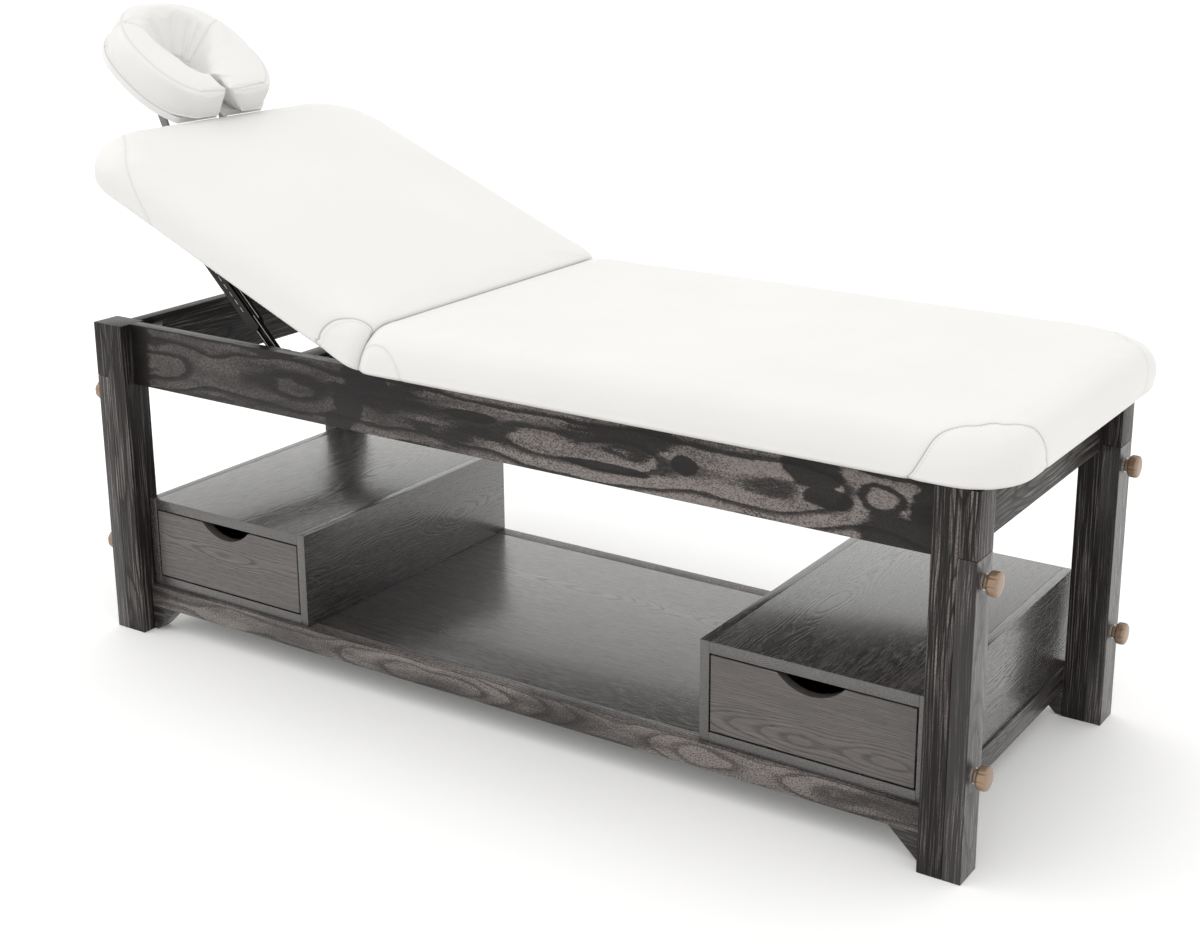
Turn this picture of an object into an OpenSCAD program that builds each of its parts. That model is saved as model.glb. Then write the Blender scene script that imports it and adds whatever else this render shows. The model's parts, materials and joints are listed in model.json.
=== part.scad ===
// Spa bed: a wooden bed with a lifting back section, a face cradle and two drawer cabinets on a shelf.
// X runs along the bed with the foot end at +X, Y across it with the near side at -Y, and Z up from the floor.

/* [Bed frame] */
// Length over the legs
frame_len = 1858; // [1500:1:2200]
// Width over the legs
frame_w = 700; // [560:1:900]
// Height of the rails' top edge above the floor
frame_h = 642; // [560:1:800]
// Height of the top rails
rail_h = 122; // [80:1:150]
// Thickness of the two side rails
rail_t = 24; // [20:1:32]
// Thickness of the two end rails
end_rail_t = 25; // [20:1:34]
// Setback of the side rails from the legs' outer faces
side_set = 25; // [15:1:34]
// Setback of the end rails from the legs' outer faces
end_set = 39; // [30:1:40]
// Width of a cross rail
cross_w = 43; // [30:1:60]
// Height of a cross rail
cross_h = 60; // [40:1:80]
// Distance from the head end of the frame to the middle of the first cross rail
cross_from_head = 519; // [480:1:540]
// Leg of a corner block, measured along the rails
block_leg = 60; // [40:1:80]
// How far a corner block's top lies under the rail's top
block_drop = 10; // [4:1:20]

/* [Legs] */
// Size of a leg along the bed
leg_x = 75; // [60:1:100]
// Size of a leg across the bed
leg_y = 60; // [50:1:90]
// Height of the leg's full block at the top
leg_block_h = 108; // [90:1:160]
// Thickness of the sliding leg board
leg_board_t = 32; // [24:1:38]
// How far the leg boards slide down
leg_drop = 125; // [60:1:130]
// Width of the slot's neck for the stud
slot_neck_w = 9; // [8.6:0.1:12]
// Depth of the slot's neck
slot_neck_d = 8; // [5:0.5:10]
// Width of the slot's wide part for the nut
slot_head_w = 21; // [18:0.5:26]
// Depth of the slot's wide part
slot_head_d = 8.5; // [7:0.5:12]
// Length of a gusset along the rail
gusset_w = 64; // [40:1:90]
// Length of a gusset's lower end
gusset_foot = 11; // [5:1:20]
// Gap between a gusset and the floor
gusset_lift = 2; // [1:0.5:6]

/* [Leg clamps] */
// Diameter of a star knob
knob_d = 40; // [32:1:50]
// Thickness of the knob's star
knob_t = 17; // [12:1:24]
// Number of lobes on a knob
knob_lobes = 8; // [5:1:10]
// Diameter of the hub behind the star
knob_hub_d = 22; // [16:1:26]
// Length of the hub
knob_hub_l = 6; // [4:1:10]
// Diameter of the clamp stud
stud_d = 8; // [6:1:8]
// Distance from the underside of the leg's full block down to the upper knobs
knob_top_drop = 40; // [29:1:64]
// Height of the lower knobs
knob_low_z = 176; // [160:1:220]
// Washer diameter
washer_d = 26; // [20:1:32]
// Washer thickness
washer_t = 2; // [1:0.5:4]
// Thickness of the nut in the slot
nut_t = 7; // [5:0.5:8]
// Length of the nut along the slot
nut_l = 26; // [20:1:40]

/* [Shelf] */
// Height of the lower rails' underside above the floor
low_z = 51; // [40:1:90]
// Height of the lower rails
low_h = 46; // [36:1:60]
// Thickness of the lower rails
low_t = 32; // [24:1:40]
// Thickness of the shelf panel
shelf_t = 12; // [9:1:18]
// Side of a shelf cleat's square section
cleat = 18; // [14:1:22]

/* [Cabinets] */
// Length of a cabinet along the bed
cab_len = 413; // [320:1:480]
// Height of a cabinet
cab_h = 185; // [150:1:260]
// Ledge of the lower rail in front of and behind a cabinet
cab_ledge = 8; // [2:1:14]
// Gap between a cabinet's end and the legs' inner faces
cab_end_gap = 4; // [1:1:12]
// Thickness of a cabinet's side boards
cab_side_t = 18; // [15:1:22]
// Thickness of a cabinet's top and base
cab_top_t = 21; // [15:1:24]
// Thickness of a cabinet's back panel
cab_back_t = 10; // [6:1:14]
// Gap round a drawer front
front_gap = 3; // [1.5:0.5:5]
// Thickness of a drawer front
front_t = 18; // [15:1:22]
// Width of the finger cut-out
grip_w = 122; // [80:1:160]
// Depth of the finger cut-out
grip_d = 27; // [18:1:36]
// Thickness of a drawer's sides and back
box_t = 12; // [9:1:15]
// Height of a drawer's sides
box_h = 108; // [80:1:114]
// Length of a drawer's sides
box_l = 560; // [450:1:575]
// Thickness of a drawer's bottom
bottom_t = 6; // [4:1:9]
// How far a drawer slides out
drawer_travel = 320; // [200:1:360]
// Space for a runner beside the drawer
runner_space = 12.5; // [11:0.5:15]
// Height of a fixed runner
runner_h = 40; // [30:1:50]
// Thickness of a fixed runner
runner_t = 8; // [6:0.5:9]
// Wall of a fixed runner
runner_wall = 2; // [1.5:0.5:3]
// Length of the runners
runner_l = 520; // [420:1:540]

/* [Pads] */
// Width of the pads
pad_w = 752; // [640:1:900]
// Thickness of the pads at their edge, board included
pad_t = 90; // [70:1:110]
// How much the middle of a pad stands above its edge
pad_crown = 6; // [2:1:14]
// How far the flat pad passes the foot end of the frame
pad_over = 57; // [40:1:90]
// Length of the back pad
back_len = 752; // [700:1:800]
// Inset of the pads' rounded top edge
pad_edge = 44; // [30:1:60]
// How much thicker the back pad is at its hinge end
pad_rise = 12; // [0:1:20]
// Corner radius at the head and foot ends
pad_corner = 106; // [70:1:150]
// Corner radius beside the hinge
pad_corner_mid = 34; // [32:1:60]
// Thickness of the boards under the pads
base_t = 22; // [20:1:24]
// Margin between a pad's outline and its board
base_margin = 36; // [32:1:44]
// Margin between the back pad's hinge end and its board
hinge_margin = 12; // [8:1:20]

/* [Back section] */
// Distance from the head end of the frame to the hinge axis
hinge_from_head = 677; // [660:1:700]
// Tilt of the back section at rest, in degrees
rest_tilt = 23.3; // [15:0.1:30]
// Steepest tilt of the back section, in degrees
max_tilt = 40; // [32:1:45]
// Radius of a hinge knuckle
knuckle_r = 5; // [4:0.5:6]
// Radius of a hinge pin
hinge_pin_r = 2.5; // [2:0.1:3]
// Thickness of a hinge leaf
leaf_t = 2.5; // [2:0.1:3]
// Length of a hinge leaf away from its knuckle
leaf_l = 34; // [24:1:40]
// Width of a hinge across the bed
hinge_w = 90; // [60:1:120]
// Distance of the outer hinges from the middle of the bed
hinge_y = 210; // [150:1:240]
// Width of the rail that carries the hinges
hinge_rail_w = 45; // [38:1:60]
// Height of the rail that carries the hinges
hinge_rail_h = 70; // [50:1:90]

/* [Stays] */
// Distance from the hinge axis to a stay's upper pivot, along the back section
stay_up_u = 488; // [470:1:500]
// Drop of a stay's upper pivot under the hinge axis plane
stay_up_v = 13; // [12:1:16]
// Distance from the hinge axis to a stay's lower pivot, along the bed
stay_low_x = 220; // [215:1:228]
// Drop of a stay's lower pivot under the rail's top
stay_low_drop = 60; // [50:1:70]
// Width of a stay's outer channel
stay_w = 30; // [26:1:31]
// Depth of a stay's outer channel across the bed
stay_d = 14; // [13:1:16]
// Wall of the outer channel
stay_wall = 2; // [1.5:0.5:3]
// Length of the outer channel from its pivot
stay_out_l = 216; // [200:1:226]
// Length of the inner channel from its pivot
stay_in_l = 226; // [218:1:228]
// Width of the inner channel
stay_bar_w = 21; // [18:1:22]
// Depth of the inner channel across the bed
stay_bar_t = 8; // [6:1:8]
// Radius of a stay's pivot pins
stay_pin_r = 4; // [3:0.5:5]
// Plate thickness of the stays' brackets
stay_plate = 2; // [1.5:0.5:3]
// Distance from the side rail's inner face to a stay's middle plane
stay_in = 23; // [18:0.5:26]

/* [Face cradle] */
// Length of the cradle cushion
cradle_len = 314; // [280:1:340]
// Width of the cradle cushion
cradle_w = 312; // [280:1:340]
// Thickness of the cradle cushion
cradle_t = 65; // [50:1:70]
// Length of the face opening
face_len = 128; // [100:1:150]
// Width of the face opening
face_w = 96; // [80:1:120]
// Width of the slit between the cushion's lobes
slit_w = 7; // [5:1:20]
// How far the underside of the lobes' tips is cut up, so that they clear the back pad
tip_lift = 14; // [13:1:20]
// Length of that cut, measured back from the tips
tip_cut_l = 50; // [45:1:70]
// How far the lobes' tips stop short of the cushion's oval
tip_short = 18; // [12:1:30]
// How far the tips' front faces lean back over their height
tip_lean = 8; // [2:1:16]
// How far the slit bends aside at the tips
slit_aside = 24; // [0:1:30]
// How much wider the slit is at the foot of the far lobe's tip
slit_under = 55; // [0:1:60]
// Distance from the back pad's head end to the middle of the cradle
cradle_out = 117; // [103:1:133]
// Height of the cradle pivot above the hinge axis plane
cradle_v = 93; // [88:1:110]
// Extra tilt of the cradle over the back section at rest, in degrees
cradle_tilt = 12; // [4:1:14]
// Thickness of the cradle's platform
platform_t = 14; // [10:1:18]
// How far the platform stands out past the cushion at the head end
platform_rim = 4; // [3:1:12]
// How far the platform stops short of the cushion's lobes
platform_short = 34; // [28:1:60]
// Distance between the middles of the two rods
rod_pitch = 160; // [140:1:220]
// Diameter of the rods
rod_d = 10; // [8:1:10]
// Length of a rod inside its socket
rod_in = 110; // [80:1:140]
// Distance from the pad's head end to the middle of the yoke bar
yoke_gap = 36; // [30:1:60]
// Side of the yoke bar's square section
yoke_bar = 16; // [14:1:20]
// Thickness of the yoke's arms and the platform's ears
arm_t = 6; // [4:1:8]
// Radius of an arm's round ends
arm_r = 9; // [8:1:12]
// Radius of the cradle's pivot pin
cradle_pin_r = 4; // [3:0.5:5]
// Length of the lock lever
lever_l = 46; // [36:1:56]

/* [Hidden] */
// Gap between pieces that slide on each other
slide_gap = 0.4;
// Gap that keeps soft pads and resting boards clear of their neighbours
rest_gap = 0.5;
// Radial clearance of a pin that turns in a hole
pin_fit = 0.06;
// Hairline between the boards of a cabinet or drawer
hairline = 0.05;
// Overrun of cuts past the faces that they open
cut = 1;
// Facets of a full circle
round_fn = 48;
// Facets of a corner of a pad's outline
corner_steps = 6;

// Frame places: half sizes, faces of the legs and rails
half_len = frame_len / 2;
half_w = frame_w / 2;
leg_in_x = half_len - leg_x;
leg_in_y = half_w - leg_y;
rail_out_y = half_w - side_set;
rail_in_y = rail_out_y - rail_t;
end_in_x = half_len - end_set - end_rail_t;
post_x = leg_x - leg_board_t - slide_gap;
block_z = frame_h - leg_block_h;
rail_z = frame_h - rail_h;
cross_x = cross_from_head - half_len;
cross_mid_x = half_len / 3;
knob_top_z = block_z - knob_top_drop;
knob_zs = [knob_top_z, knob_low_z];
knob_y = half_w - leg_y / 2;
stud_hole_r = stud_d / 2 + slide_gap / 2;

// Shelf and cabinet places
shelf_z = low_z + low_h;
low_out_y = leg_in_y + low_t;
cab_y = low_out_y - cab_ledge;
cab_x = leg_in_x - cab_end_gap - cab_len / 2;
open_w = cab_len - 2 * cab_side_t;
open_z = shelf_z + cab_top_t;
open_h = cab_h - 2 * cab_top_t;
box_w = open_w - 2 * runner_space;
box_z = open_z + (open_h - box_h) / 2;
runner_z = box_z + box_h / 2;
runner_y = -cab_y + front_t + rest_gap;
runner_bar_h = runner_h - 2 * runner_wall - 2 * slide_gap;

// Hinge and pad places
hinge_x = hinge_from_head - half_len;
hinge_z = frame_h - knuckle_r + rest_gap;
leaf_hole_r = hinge_pin_r + pin_fit;
knuckles = 5;
knuckle_w = hinge_w / knuckles;
pad_half_w = pad_w / 2;
board_corner = pad_corner - base_margin;
board_corner_mid = board_corner * pad_corner_mid / pad_corner;
pad_foot_x = half_len + pad_over;
board_end = knuckle_r + (base_t + knuckle_r) * tan(max_tilt);
end_gap = 1.5;

// Stay places, in the XZ plane of the rest pose
function turned(p, a) = [p[0] * cos(a) + p[1] * sin(a), -p[0] * sin(a) + p[1] * cos(a)];
stay_top = [hinge_x, hinge_z] + turned([-stay_up_u, -stay_up_v], rest_tilt);
stay_low = [hinge_x - stay_low_x, frame_h - stay_low_drop];
stay_vec = stay_top - stay_low;
stay_side = stay_w / 2 - stay_wall - slide_gap - stay_bar_w / 2;
stay_c = sqrt(stay_vec * stay_vec - stay_side * stay_side);
stay_angle = atan2(stay_vec[1], -stay_vec[0]) + asin(stay_side / norm(stay_vec));
stay_y = rail_in_y - stay_in;
bracket_in = stay_bar_t / 2 + 2 * stay_plate;
bracket_head = 1.3 * stay_w;
bracket_foot = stay_bar_w / 2 + 2 * stay_wall;
bracket_deep = stay_bar_w / 2 + 0.8 * stay_w;

// Cradle places, in the back section's own frame with the hinge axis at zero
rod_v = knuckle_r + base_t / 2;
yoke_u = back_len + yoke_gap;
cradle_u = back_len + cradle_out;
cradle_rest = rest_tilt + cradle_tilt;
ear_h = arm_r + slide_gap + rest_gap;
platform_v = ear_h;
cushion_v = platform_v + platform_t + rest_gap;
platform_a = cradle_len / 2 + platform_rim;
arm_y = rod_pitch / 2;
ear_y = arm_y - arm_t - slide_gap;
pin_half = arm_y + arm_t / 2 + yoke_bar / 4;

// The origin lies under the middle of the whole bed's length
cradle_mid = [hinge_x, hinge_z] + turned([-cradle_u, cradle_v], rest_tilt);
head_x = cradle_mid[0] + turned([-platform_a, platform_v], cradle_rest)[0];
origin_shift = -(head_x + pad_foot_x) / 2;
echo(origin_shift=origin_shift, hinge=[hinge_x + origin_shift, hinge_z]);
echo(stay_top=stay_top + [origin_shift, 0], stay_low=stay_low + [origin_shift, 0]);
echo(stay_c=stay_c, stay_angle=stay_angle, stay_y=stay_y);
echo(cradle_mid=cradle_mid + [origin_shift, 0], cradle_rest=cradle_rest);
echo(cab_x=cab_x, knob_y=knob_y, end_x=half_len);

wood = [0.16, 0.15, 0.155];
panel = [0.19, 0.18, 0.185];
ply = [0.55, 0.5, 0.43];
vinyl = [0.94, 0.93, 0.9];
bronze = [0.58, 0.46, 0.34];
steel = [0.66, 0.66, 0.67];
black_steel = [0.1, 0.1, 0.11];
grey_metal = [0.45, 0.46, 0.47];

// A box from its lowest corner to its highest corner
module span(low, high) {
    translate(low) cube(high - low);
}

// Moves a piece from the frame's own middle to the part's origin
module placed() {
    translate([origin_shift, 0, 0]) children();
}

// Side rails, with a shallow seat for the stay bracket's top flange
module side_rail() {
    difference() {
        span([-leg_in_x, -rail_out_y, rail_z], [leg_in_x, -rail_in_y, frame_h]);
        translate([stay_low[0], -rail_in_y, 0]) flange_shape(cut, slide_gap);
    }
}

module side_rail_near() { color(wood) placed() side_rail(); }

module side_rail_far() { color(wood) placed() mirror([0, 1, 0]) side_rail(); }

// End rails between the legs
module end_rail(side) {
    mirror([side > 0 ? 1 : 0, 0, 0])
        span([-end_in_x - end_rail_t, -leg_in_y, rail_z], [-end_in_x, leg_in_y, frame_h]);
}

module end_rail_head() { color(wood) placed() end_rail(-1); }

module end_rail_foot() { color(wood) placed() end_rail(1); }

module cross_rails() {
    color(wood) placed() for (x = [cross_x, cross_mid_x])
        span([x - cross_w / 2, -rail_in_y, frame_h - cross_h], [x + cross_w / 2, rail_in_y, frame_h]);
}

module hinge_rail() {
    start = hinge_x + knuckle_r + rest_gap;
    color(wood) placed()
        span([start, -rail_in_y, frame_h - leaf_t - hinge_rail_h],
            [start + hinge_rail_w, rail_in_y, frame_h - leaf_t]);
}

module corner_blocks() {
    color(wood) placed() for (sx = [0, 1], sy = [0, 1])
        mirror([sx, 0, 0]) mirror([0, sy, 0])
            translate([-leg_in_x, -rail_in_y, rail_z])
                linear_extrude(rail_h - block_drop)
                    polygon([[0, 0], [block_leg, 0], [0, block_leg]]);
}

// A leg's fixed part: full block above, slotted post below
module leg_post() {
    slot_top = knob_top_z + nut_l / 2 + slide_gap;
    difference() {
        union() {
            span([-half_len, -half_w, block_z], [-leg_in_x, -leg_in_y, frame_h]);
            span([-leg_in_x - post_x, -half_w, 0], [-leg_in_x, -leg_in_y, block_z + cut]);
        }
        translate([-leg_in_x - post_x, -knob_y, -cut]) {
            span([-cut, -slot_neck_w / 2, 0], [slot_neck_d + cut, slot_neck_w / 2, slot_top + cut]);
            span([slot_neck_d, -slot_head_w / 2, 0],
                [slot_neck_d + slot_head_d, slot_head_w / 2, slot_top + cut]);
        }
    }
}

module leg_posts() {
    color(wood) placed() for (sx = [0, 1], sy = [0, 1])
        mirror([sx, 0, 0]) mirror([0, sy, 0]) leg_post();
}

// The sliding outer board of a leg, bored for its two studs
module leg_board(sx, sy) {
    color(wood) placed() mirror([sx, 0, 0]) mirror([0, sy, 0]) difference() {
        span([-half_len, -half_w, 0], [-half_len + leg_board_t, -leg_in_y, block_z - slide_gap]);
        for (z = knob_zs)
            translate([-half_len - cut, -knob_y, z]) rotate([0, 90, 0])
                cylinder(r = stud_hole_r, h = leg_board_t + 2 * cut, $fn = round_fn);
    }
}

module leg_board_head_near() { leg_board(0, 0); }

module leg_board_head_far() { leg_board(0, 1); }

module leg_board_foot_near() { leg_board(1, 0); }

module leg_board_foot_far() { leg_board(1, 1); }

// Washers behind the knobs and the nuts that ride in the leg's slot
module clamp_parts(sx, sy) {
    nut_x = -leg_in_x - post_x + slot_neck_d + slide_gap;
    color(steel) placed() mirror([sx, 0, 0]) mirror([0, sy, 0]) for (z = knob_zs) {
        translate([-half_len - washer_t, -knob_y, z]) rotate([0, 90, 0]) difference() {
            cylinder(d = washer_d, h = washer_t, $fn = round_fn);
            translate([0, 0, -cut]) cylinder(r = stud_hole_r, h = washer_t + 2 * cut, $fn = round_fn);
        }
        difference() {
            span([nut_x, -knob_y - slot_head_w / 2 + slide_gap, z - nut_l / 2],
                [nut_x + nut_t, -knob_y + slot_head_w / 2 - slide_gap, z + nut_l / 2]);
            translate([nut_x - cut, -knob_y, z]) rotate([0, 90, 0])
                cylinder(r = stud_d / 2 + pin_fit, h = nut_t + 2 * cut, $fn = round_fn);
        }
    }
}

module clamp_parts_head_near() { clamp_parts(0, 0); }

module clamp_parts_head_far() { clamp_parts(0, 1); }

module clamp_parts_foot_near() { clamp_parts(1, 0); }

module clamp_parts_foot_far() { clamp_parts(1, 1); }

// A star knob on its stud, with the stud pointing into the leg
module star_knob(sx, sy, z) {
    lobe_r = knob_d / 7;
    hub_start = washer_t + slide_gap;
    stud_l = washer_t + leg_board_t + slide_gap + slot_neck_d + slide_gap + nut_t;
    color(bronze) placed() mirror([sx, 0, 0]) mirror([0, sy, 0])
        translate([-half_len, -knob_y, z]) rotate([0, -90, 0]) {
            translate([0, 0, washer_t - stud_l]) cylinder(d = stud_d, h = stud_l + cut, $fn = round_fn);
            translate([0, 0, hub_start]) cylinder(d = knob_hub_d, h = knob_hub_l + cut, $fn = round_fn);
            translate([0, 0, hub_start + knob_hub_l]) {
                difference() {
                    cylinder(d = knob_d, h = knob_t, $fn = 2 * round_fn);
                    for (i = [0 : knob_lobes - 1])
                        rotate([0, 0, i * 360 / knob_lobes])
                            translate([knob_d / 2 + lobe_r / 3, 0, -cut])
                                cylinder(r = lobe_r, h = knob_t + 2 * cut, $fn = round_fn);
                }
                cylinder(d1 = knob_d * 0.7, d2 = knob_hub_d * 0.8, h = knob_t + washer_t, $fn = round_fn);
            }
        }
}

module knob_head_near_top() { star_knob(0, 0, knob_top_z); }

module knob_head_near_low() { star_knob(0, 0, knob_low_z); }

module knob_head_far_top() { star_knob(0, 1, knob_top_z); }

module knob_head_far_low() { star_knob(0, 1, knob_low_z); }

module knob_foot_near_top() { star_knob(1, 0, knob_top_z); }

module knob_foot_near_low() { star_knob(1, 0, knob_low_z); }

module knob_foot_far_top() { star_knob(1, 1, knob_top_z); }

module knob_foot_far_low() { star_knob(1, 1, knob_low_z); }

module lower_side_rails() {
    color(wood) placed() for (sy = [0, 1]) mirror([0, sy, 0])
        span([-leg_in_x, -low_out_y, low_z], [leg_in_x, -leg_in_y, shelf_z]);
}

module lower_end_rails() {
    color(wood) placed() for (sx = [0, 1]) mirror([sx, 0, 0])
        span([-leg_in_x, -leg_in_y, low_z], [low_t - leg_in_x, leg_in_y, shelf_z]);
}

// Triangular gussets between the lower side rails and the legs
module gussets() {
    color(wood) placed() for (sx = [0, 1], sy = [0, 1])
        mirror([sx, 0, 0]) mirror([0, sy, 0])
            translate([-leg_in_x, -leg_in_y, 0]) rotate([90, 0, 0]) linear_extrude(low_t)
                polygon([[0, low_z], [gusset_w, low_z], [gusset_foot, gusset_lift], [0, gusset_lift]]);
}

module shelf() {
    color(panel) placed()
        span([low_t - leg_in_x, -leg_in_y, shelf_z - shelf_t], [leg_in_x - low_t, leg_in_y, shelf_z]);
}

module shelf_cleats() {
    color(wood) placed() for (sy = [0, 1]) mirror([0, sy, 0])
        span([low_t - leg_in_x, -leg_in_y, shelf_z - shelf_t - cleat],
            [leg_in_x - low_t, cleat - leg_in_y, shelf_z - shelf_t]);
}

// A cabinet's side boards, top, base and back as separate boards
module cabinet_case(x) {
    half = open_w / 2 - hairline;
    color(wood) placed() translate([x, 0, 0]) {
        for (sx = [0, 1]) mirror([sx, 0, 0])
            span([-cab_len / 2, -cab_y, shelf_z], [-open_w / 2, cab_y, shelf_z + cab_h]);
        for (z = [shelf_z, shelf_z + cab_h - cab_top_t])
            span([-half, -cab_y, z], [half, cab_y, z + cab_top_t]);
        span([-half, cab_y - cab_back_t, open_z + hairline], [half, cab_y, open_z + open_h - hairline]);
    }
}

module cabinet_head_case() { cabinet_case(-cab_x); }

module cabinet_foot_case() { cabinet_case(cab_x); }

// A drawer front with its half-round finger cut-out
module drawer_front(x) {
    w = open_w - 2 * front_gap;
    h = open_h - 2 * front_gap;
    grip_r = (grip_w * grip_w / 4 + grip_d * grip_d) / (2 * grip_d);
    color(wood) placed() translate([x, -cab_y + front_t, open_z + front_gap]) rotate([90, 0, 0])
        linear_extrude(front_t) difference() {
            translate([-w / 2, 0]) square([w, h]);
            translate([0, h + grip_r - grip_d]) circle(r = grip_r, $fn = 3 * round_fn);
        }
}

module drawer_head_front() { drawer_front(-cab_x); }

module drawer_foot_front() { drawer_front(cab_x); }

// A drawer's sides, back and bottom
module drawer_box(x) {
    bottom_z = box_t / 2;
    half = box_w / 2 - box_t - hairline;
    color(ply) placed() translate([x, front_t - cab_y, box_z]) {
        for (sx = [0, 1]) mirror([sx, 0, 0]) span([-box_w / 2, 0, 0], [box_t - box_w / 2, box_l, box_h]);
        span([-half, box_l - box_t, 0], [half, box_l, box_h]);
        span([-half, 0, bottom_z], [half, box_l - box_t - hairline, bottom_z + bottom_t]);
    }
}

module drawer_head_box() { drawer_box(-cab_x); }

module drawer_foot_box() { drawer_box(cab_x); }

// Channels on the cabinet's sides
module runners_fixed(x) {
    color(steel) placed() translate([x, runner_y, runner_z]) for (sx = [0, 1]) mirror([sx, 0, 0])
        difference() {
            span([-open_w / 2, 0, -runner_h / 2], [runner_t - open_w / 2, runner_l, runner_h / 2]);
            span([runner_wall - open_w / 2, -cut, runner_wall - runner_h / 2],
                [runner_t + cut - open_w / 2, runner_l + cut, runner_h / 2 - runner_wall]);
        }
}

module runners_head_fixed() { runners_fixed(-cab_x); }

module runners_foot_fixed() { runners_fixed(cab_x); }

// Bars on the drawer's sides, running in the channels
module runners_sliding(x) {
    color(steel) placed() translate([x, runner_y, runner_z]) for (sx = [0, 1]) mirror([sx, 0, 0])
        span([runner_wall + slide_gap - open_w / 2, 0, -runner_bar_h / 2],
            [-box_w / 2, runner_l, runner_bar_h / 2]);
}

module runners_head_sliding() { runners_sliding(-cab_x); }

module runners_foot_sliding() { runners_sliding(cab_x); }

// Outline of a pad or board: a rectangle from x0 to x1 with its own corner radius at each end
function outline(x0, x1, half, r0, r1) = [
    for (c = [[x1, 1, r1, 0], [x0, 1, r0, 90], [x0, -1, r0, 180], [x1, -1, r1, 270]])
        for (i = [0 : corner_steps])
            let (a = c[3] + 90 * i / corner_steps, sx = c[0] == x1 ? -1 : 1)
                [c[0] + c[2] * (sx + cos(a)), c[1] * (half - c[2]) + c[2] * sin(a)]
];

// A pad's side from its underside to its top edge: shares of inset, height and corner radius
side_shares = [
    [0.45, 0, 0.83], [0.22, 0.06, 0.92], [0.06, 0.2, 0.98], [0, 0.38, 1], [0.03, 0.57, 1.02],
    [0.17, 0.77, 1.08], [0.47, 0.93, 1.14], [1, 1, 1.2]
];
// Rings of the crown, as shares of the top edge's size
crown_shares = [0.88, 0.72, 0.5, 0.25];

// Points of one side ring, with the hinge end leaning by the given tangent
function pad_ring(x0, x1, share, lean) = [
    for (p = outline(x0 + lean * share[1] * pad_t, x1 - share[0] * pad_edge, pad_half_w - share[0] * pad_edge,
            share[2] * pad_corner_mid, share[2] * pad_corner)) [p[0], p[1], share[1] * pad_t]
];

// Shrinks a ring about its middle and lifts it into the crown
function crown_ring(ring, share) = let (
        mid = (ring[0] + ring[2 * corner_steps + 2]) / 2,
        lift = pad_crown * (1 - share * share)
    ) [for (p = ring) [mid[0] + (p[0] - mid[0]) * share, p[1] * share, p[2] + lift]];

// Makes a ring thicker towards the hinge end
function raised(ring, x0, x1, rise) = [
    for (p = ring) [p[0], p[1], p[2] * (1 + rise / pad_t * (x1 - p[0]) / (x1 - x0))]
];

// Closes a stack of rings into a solid, with a point at the middle of each end
function stack_faces(rings, n) = concat(
    [for (j = [0 : n - 1]) [j, (j + 1) % n, rings * n]],
    [for (i = [0 : rings - 2]) for (j = [0 : n - 1]) [i * n + j, (i + 1) * n + j, (i + 1) * n + (j + 1) % n]],
    [for (i = [0 : rings - 2]) for (j = [0 : n - 1])
        [i * n + j, (i + 1) * n + (j + 1) % n, i * n + (j + 1) % n]],
    [for (j = [0 : n - 1]) [(rings - 1) * n + (j + 1) % n, (rings - 1) * n + j, rings * n + 1]]
);

// A pad: a pocket for its board, drawn-in lower edge, full sides and a crowned top
module pad_form(x0, x1, lean, pocket_start, rise) {
    pocket = base_t + rest_gap;
    seat = base_margin - rest_gap;
    n = 4 * (corner_steps + 1);
    sides = [for (s = side_shares) pad_ring(x0, x1, s, lean)];
    top = sides[len(sides) - 1];
    pocket_ring = outline(pocket_start - rest_gap, x1 - seat, pad_half_w - seat,
        board_corner_mid + rest_gap, board_corner + rest_gap);
    form = concat(sides, [for (s = crown_shares) crown_ring(top, s)]);
    rings = concat(
        [[for (p = pocket_ring) [p[0], p[1], pocket]], [for (p = pocket_ring) [p[0], p[1], 0]]],
        [for (r = form) raised(r, x0, x1, rise)]);
    mid_x = (top[0][0] + top[2 * corner_steps + 2][0]) / 2;
    peak = raised([[mid_x, 0, pad_t + pad_crown]], x0, x1, rise);
    points = concat([for (r = rings) each r], [[(pocket_start + x1) / 2, 0, pocket]], peak);
    polyhedron(points = points, faces = stack_faces(len(rings), n));
}

module board_form(x0, x1) {
    linear_extrude(base_t)
        polygon(outline(x0, x1 - base_margin, pad_half_w - base_margin, board_corner_mid, board_corner));
}

module flat_board() {
    color(ply) placed() translate([0, 0, frame_h]) board_form(hinge_x + board_end, pad_foot_x);
}

// The flat pad's hinge end leans so that the back section can swing up past it
module flat_pad() {
    lean = tan(max_tilt);
    start = hinge_x + (frame_h - hinge_z) * lean;
    color(vinyl) placed() translate([0, 0, frame_h + rest_gap])
        pad_form(start + rest_gap, pad_foot_x, lean, hinge_x + board_end, 0);
}

// Places a piece on the tilted back section, with the hinge axis as its origin
module on_back() {
    placed() translate([hinge_x, 0, hinge_z]) rotate([0, rest_tilt, 0]) children();
}

// The back board, bored for the rods' sleeves
module back_board() {
    color(ply) on_back() difference() {
        translate([0, 0, knuckle_r]) mirror([1, 0, 0]) board_form(end_gap + hinge_margin, back_len);
        for (side = [-1, 1])
            translate([rod_in + base_margin - back_len, side * rod_pitch / 2, rod_v]) rotate([0, -90, 0])
                cylinder(d = rod_d + 2 * stay_wall + 2 * pin_fit, h = rod_in + cut, $fn = round_fn);
    }
}

// The back pad, with a notch in its skirt for each rod
module back_pad() {
    notch = rod_d / 2 + 2 * rest_gap;
    color(vinyl) on_back() difference() {
        translate([0, 0, knuckle_r + rest_gap]) mirror([1, 0, 0])
            pad_form(end_gap, back_len, 0, end_gap + hinge_margin, pad_rise);
        for (side = [-1, 1])
            translate([0, side * rod_pitch / 2, 0])
                span([-back_len - cut, -notch, 0], [base_margin + cut - back_len, notch, rod_v + notch]);
    }
}

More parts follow.
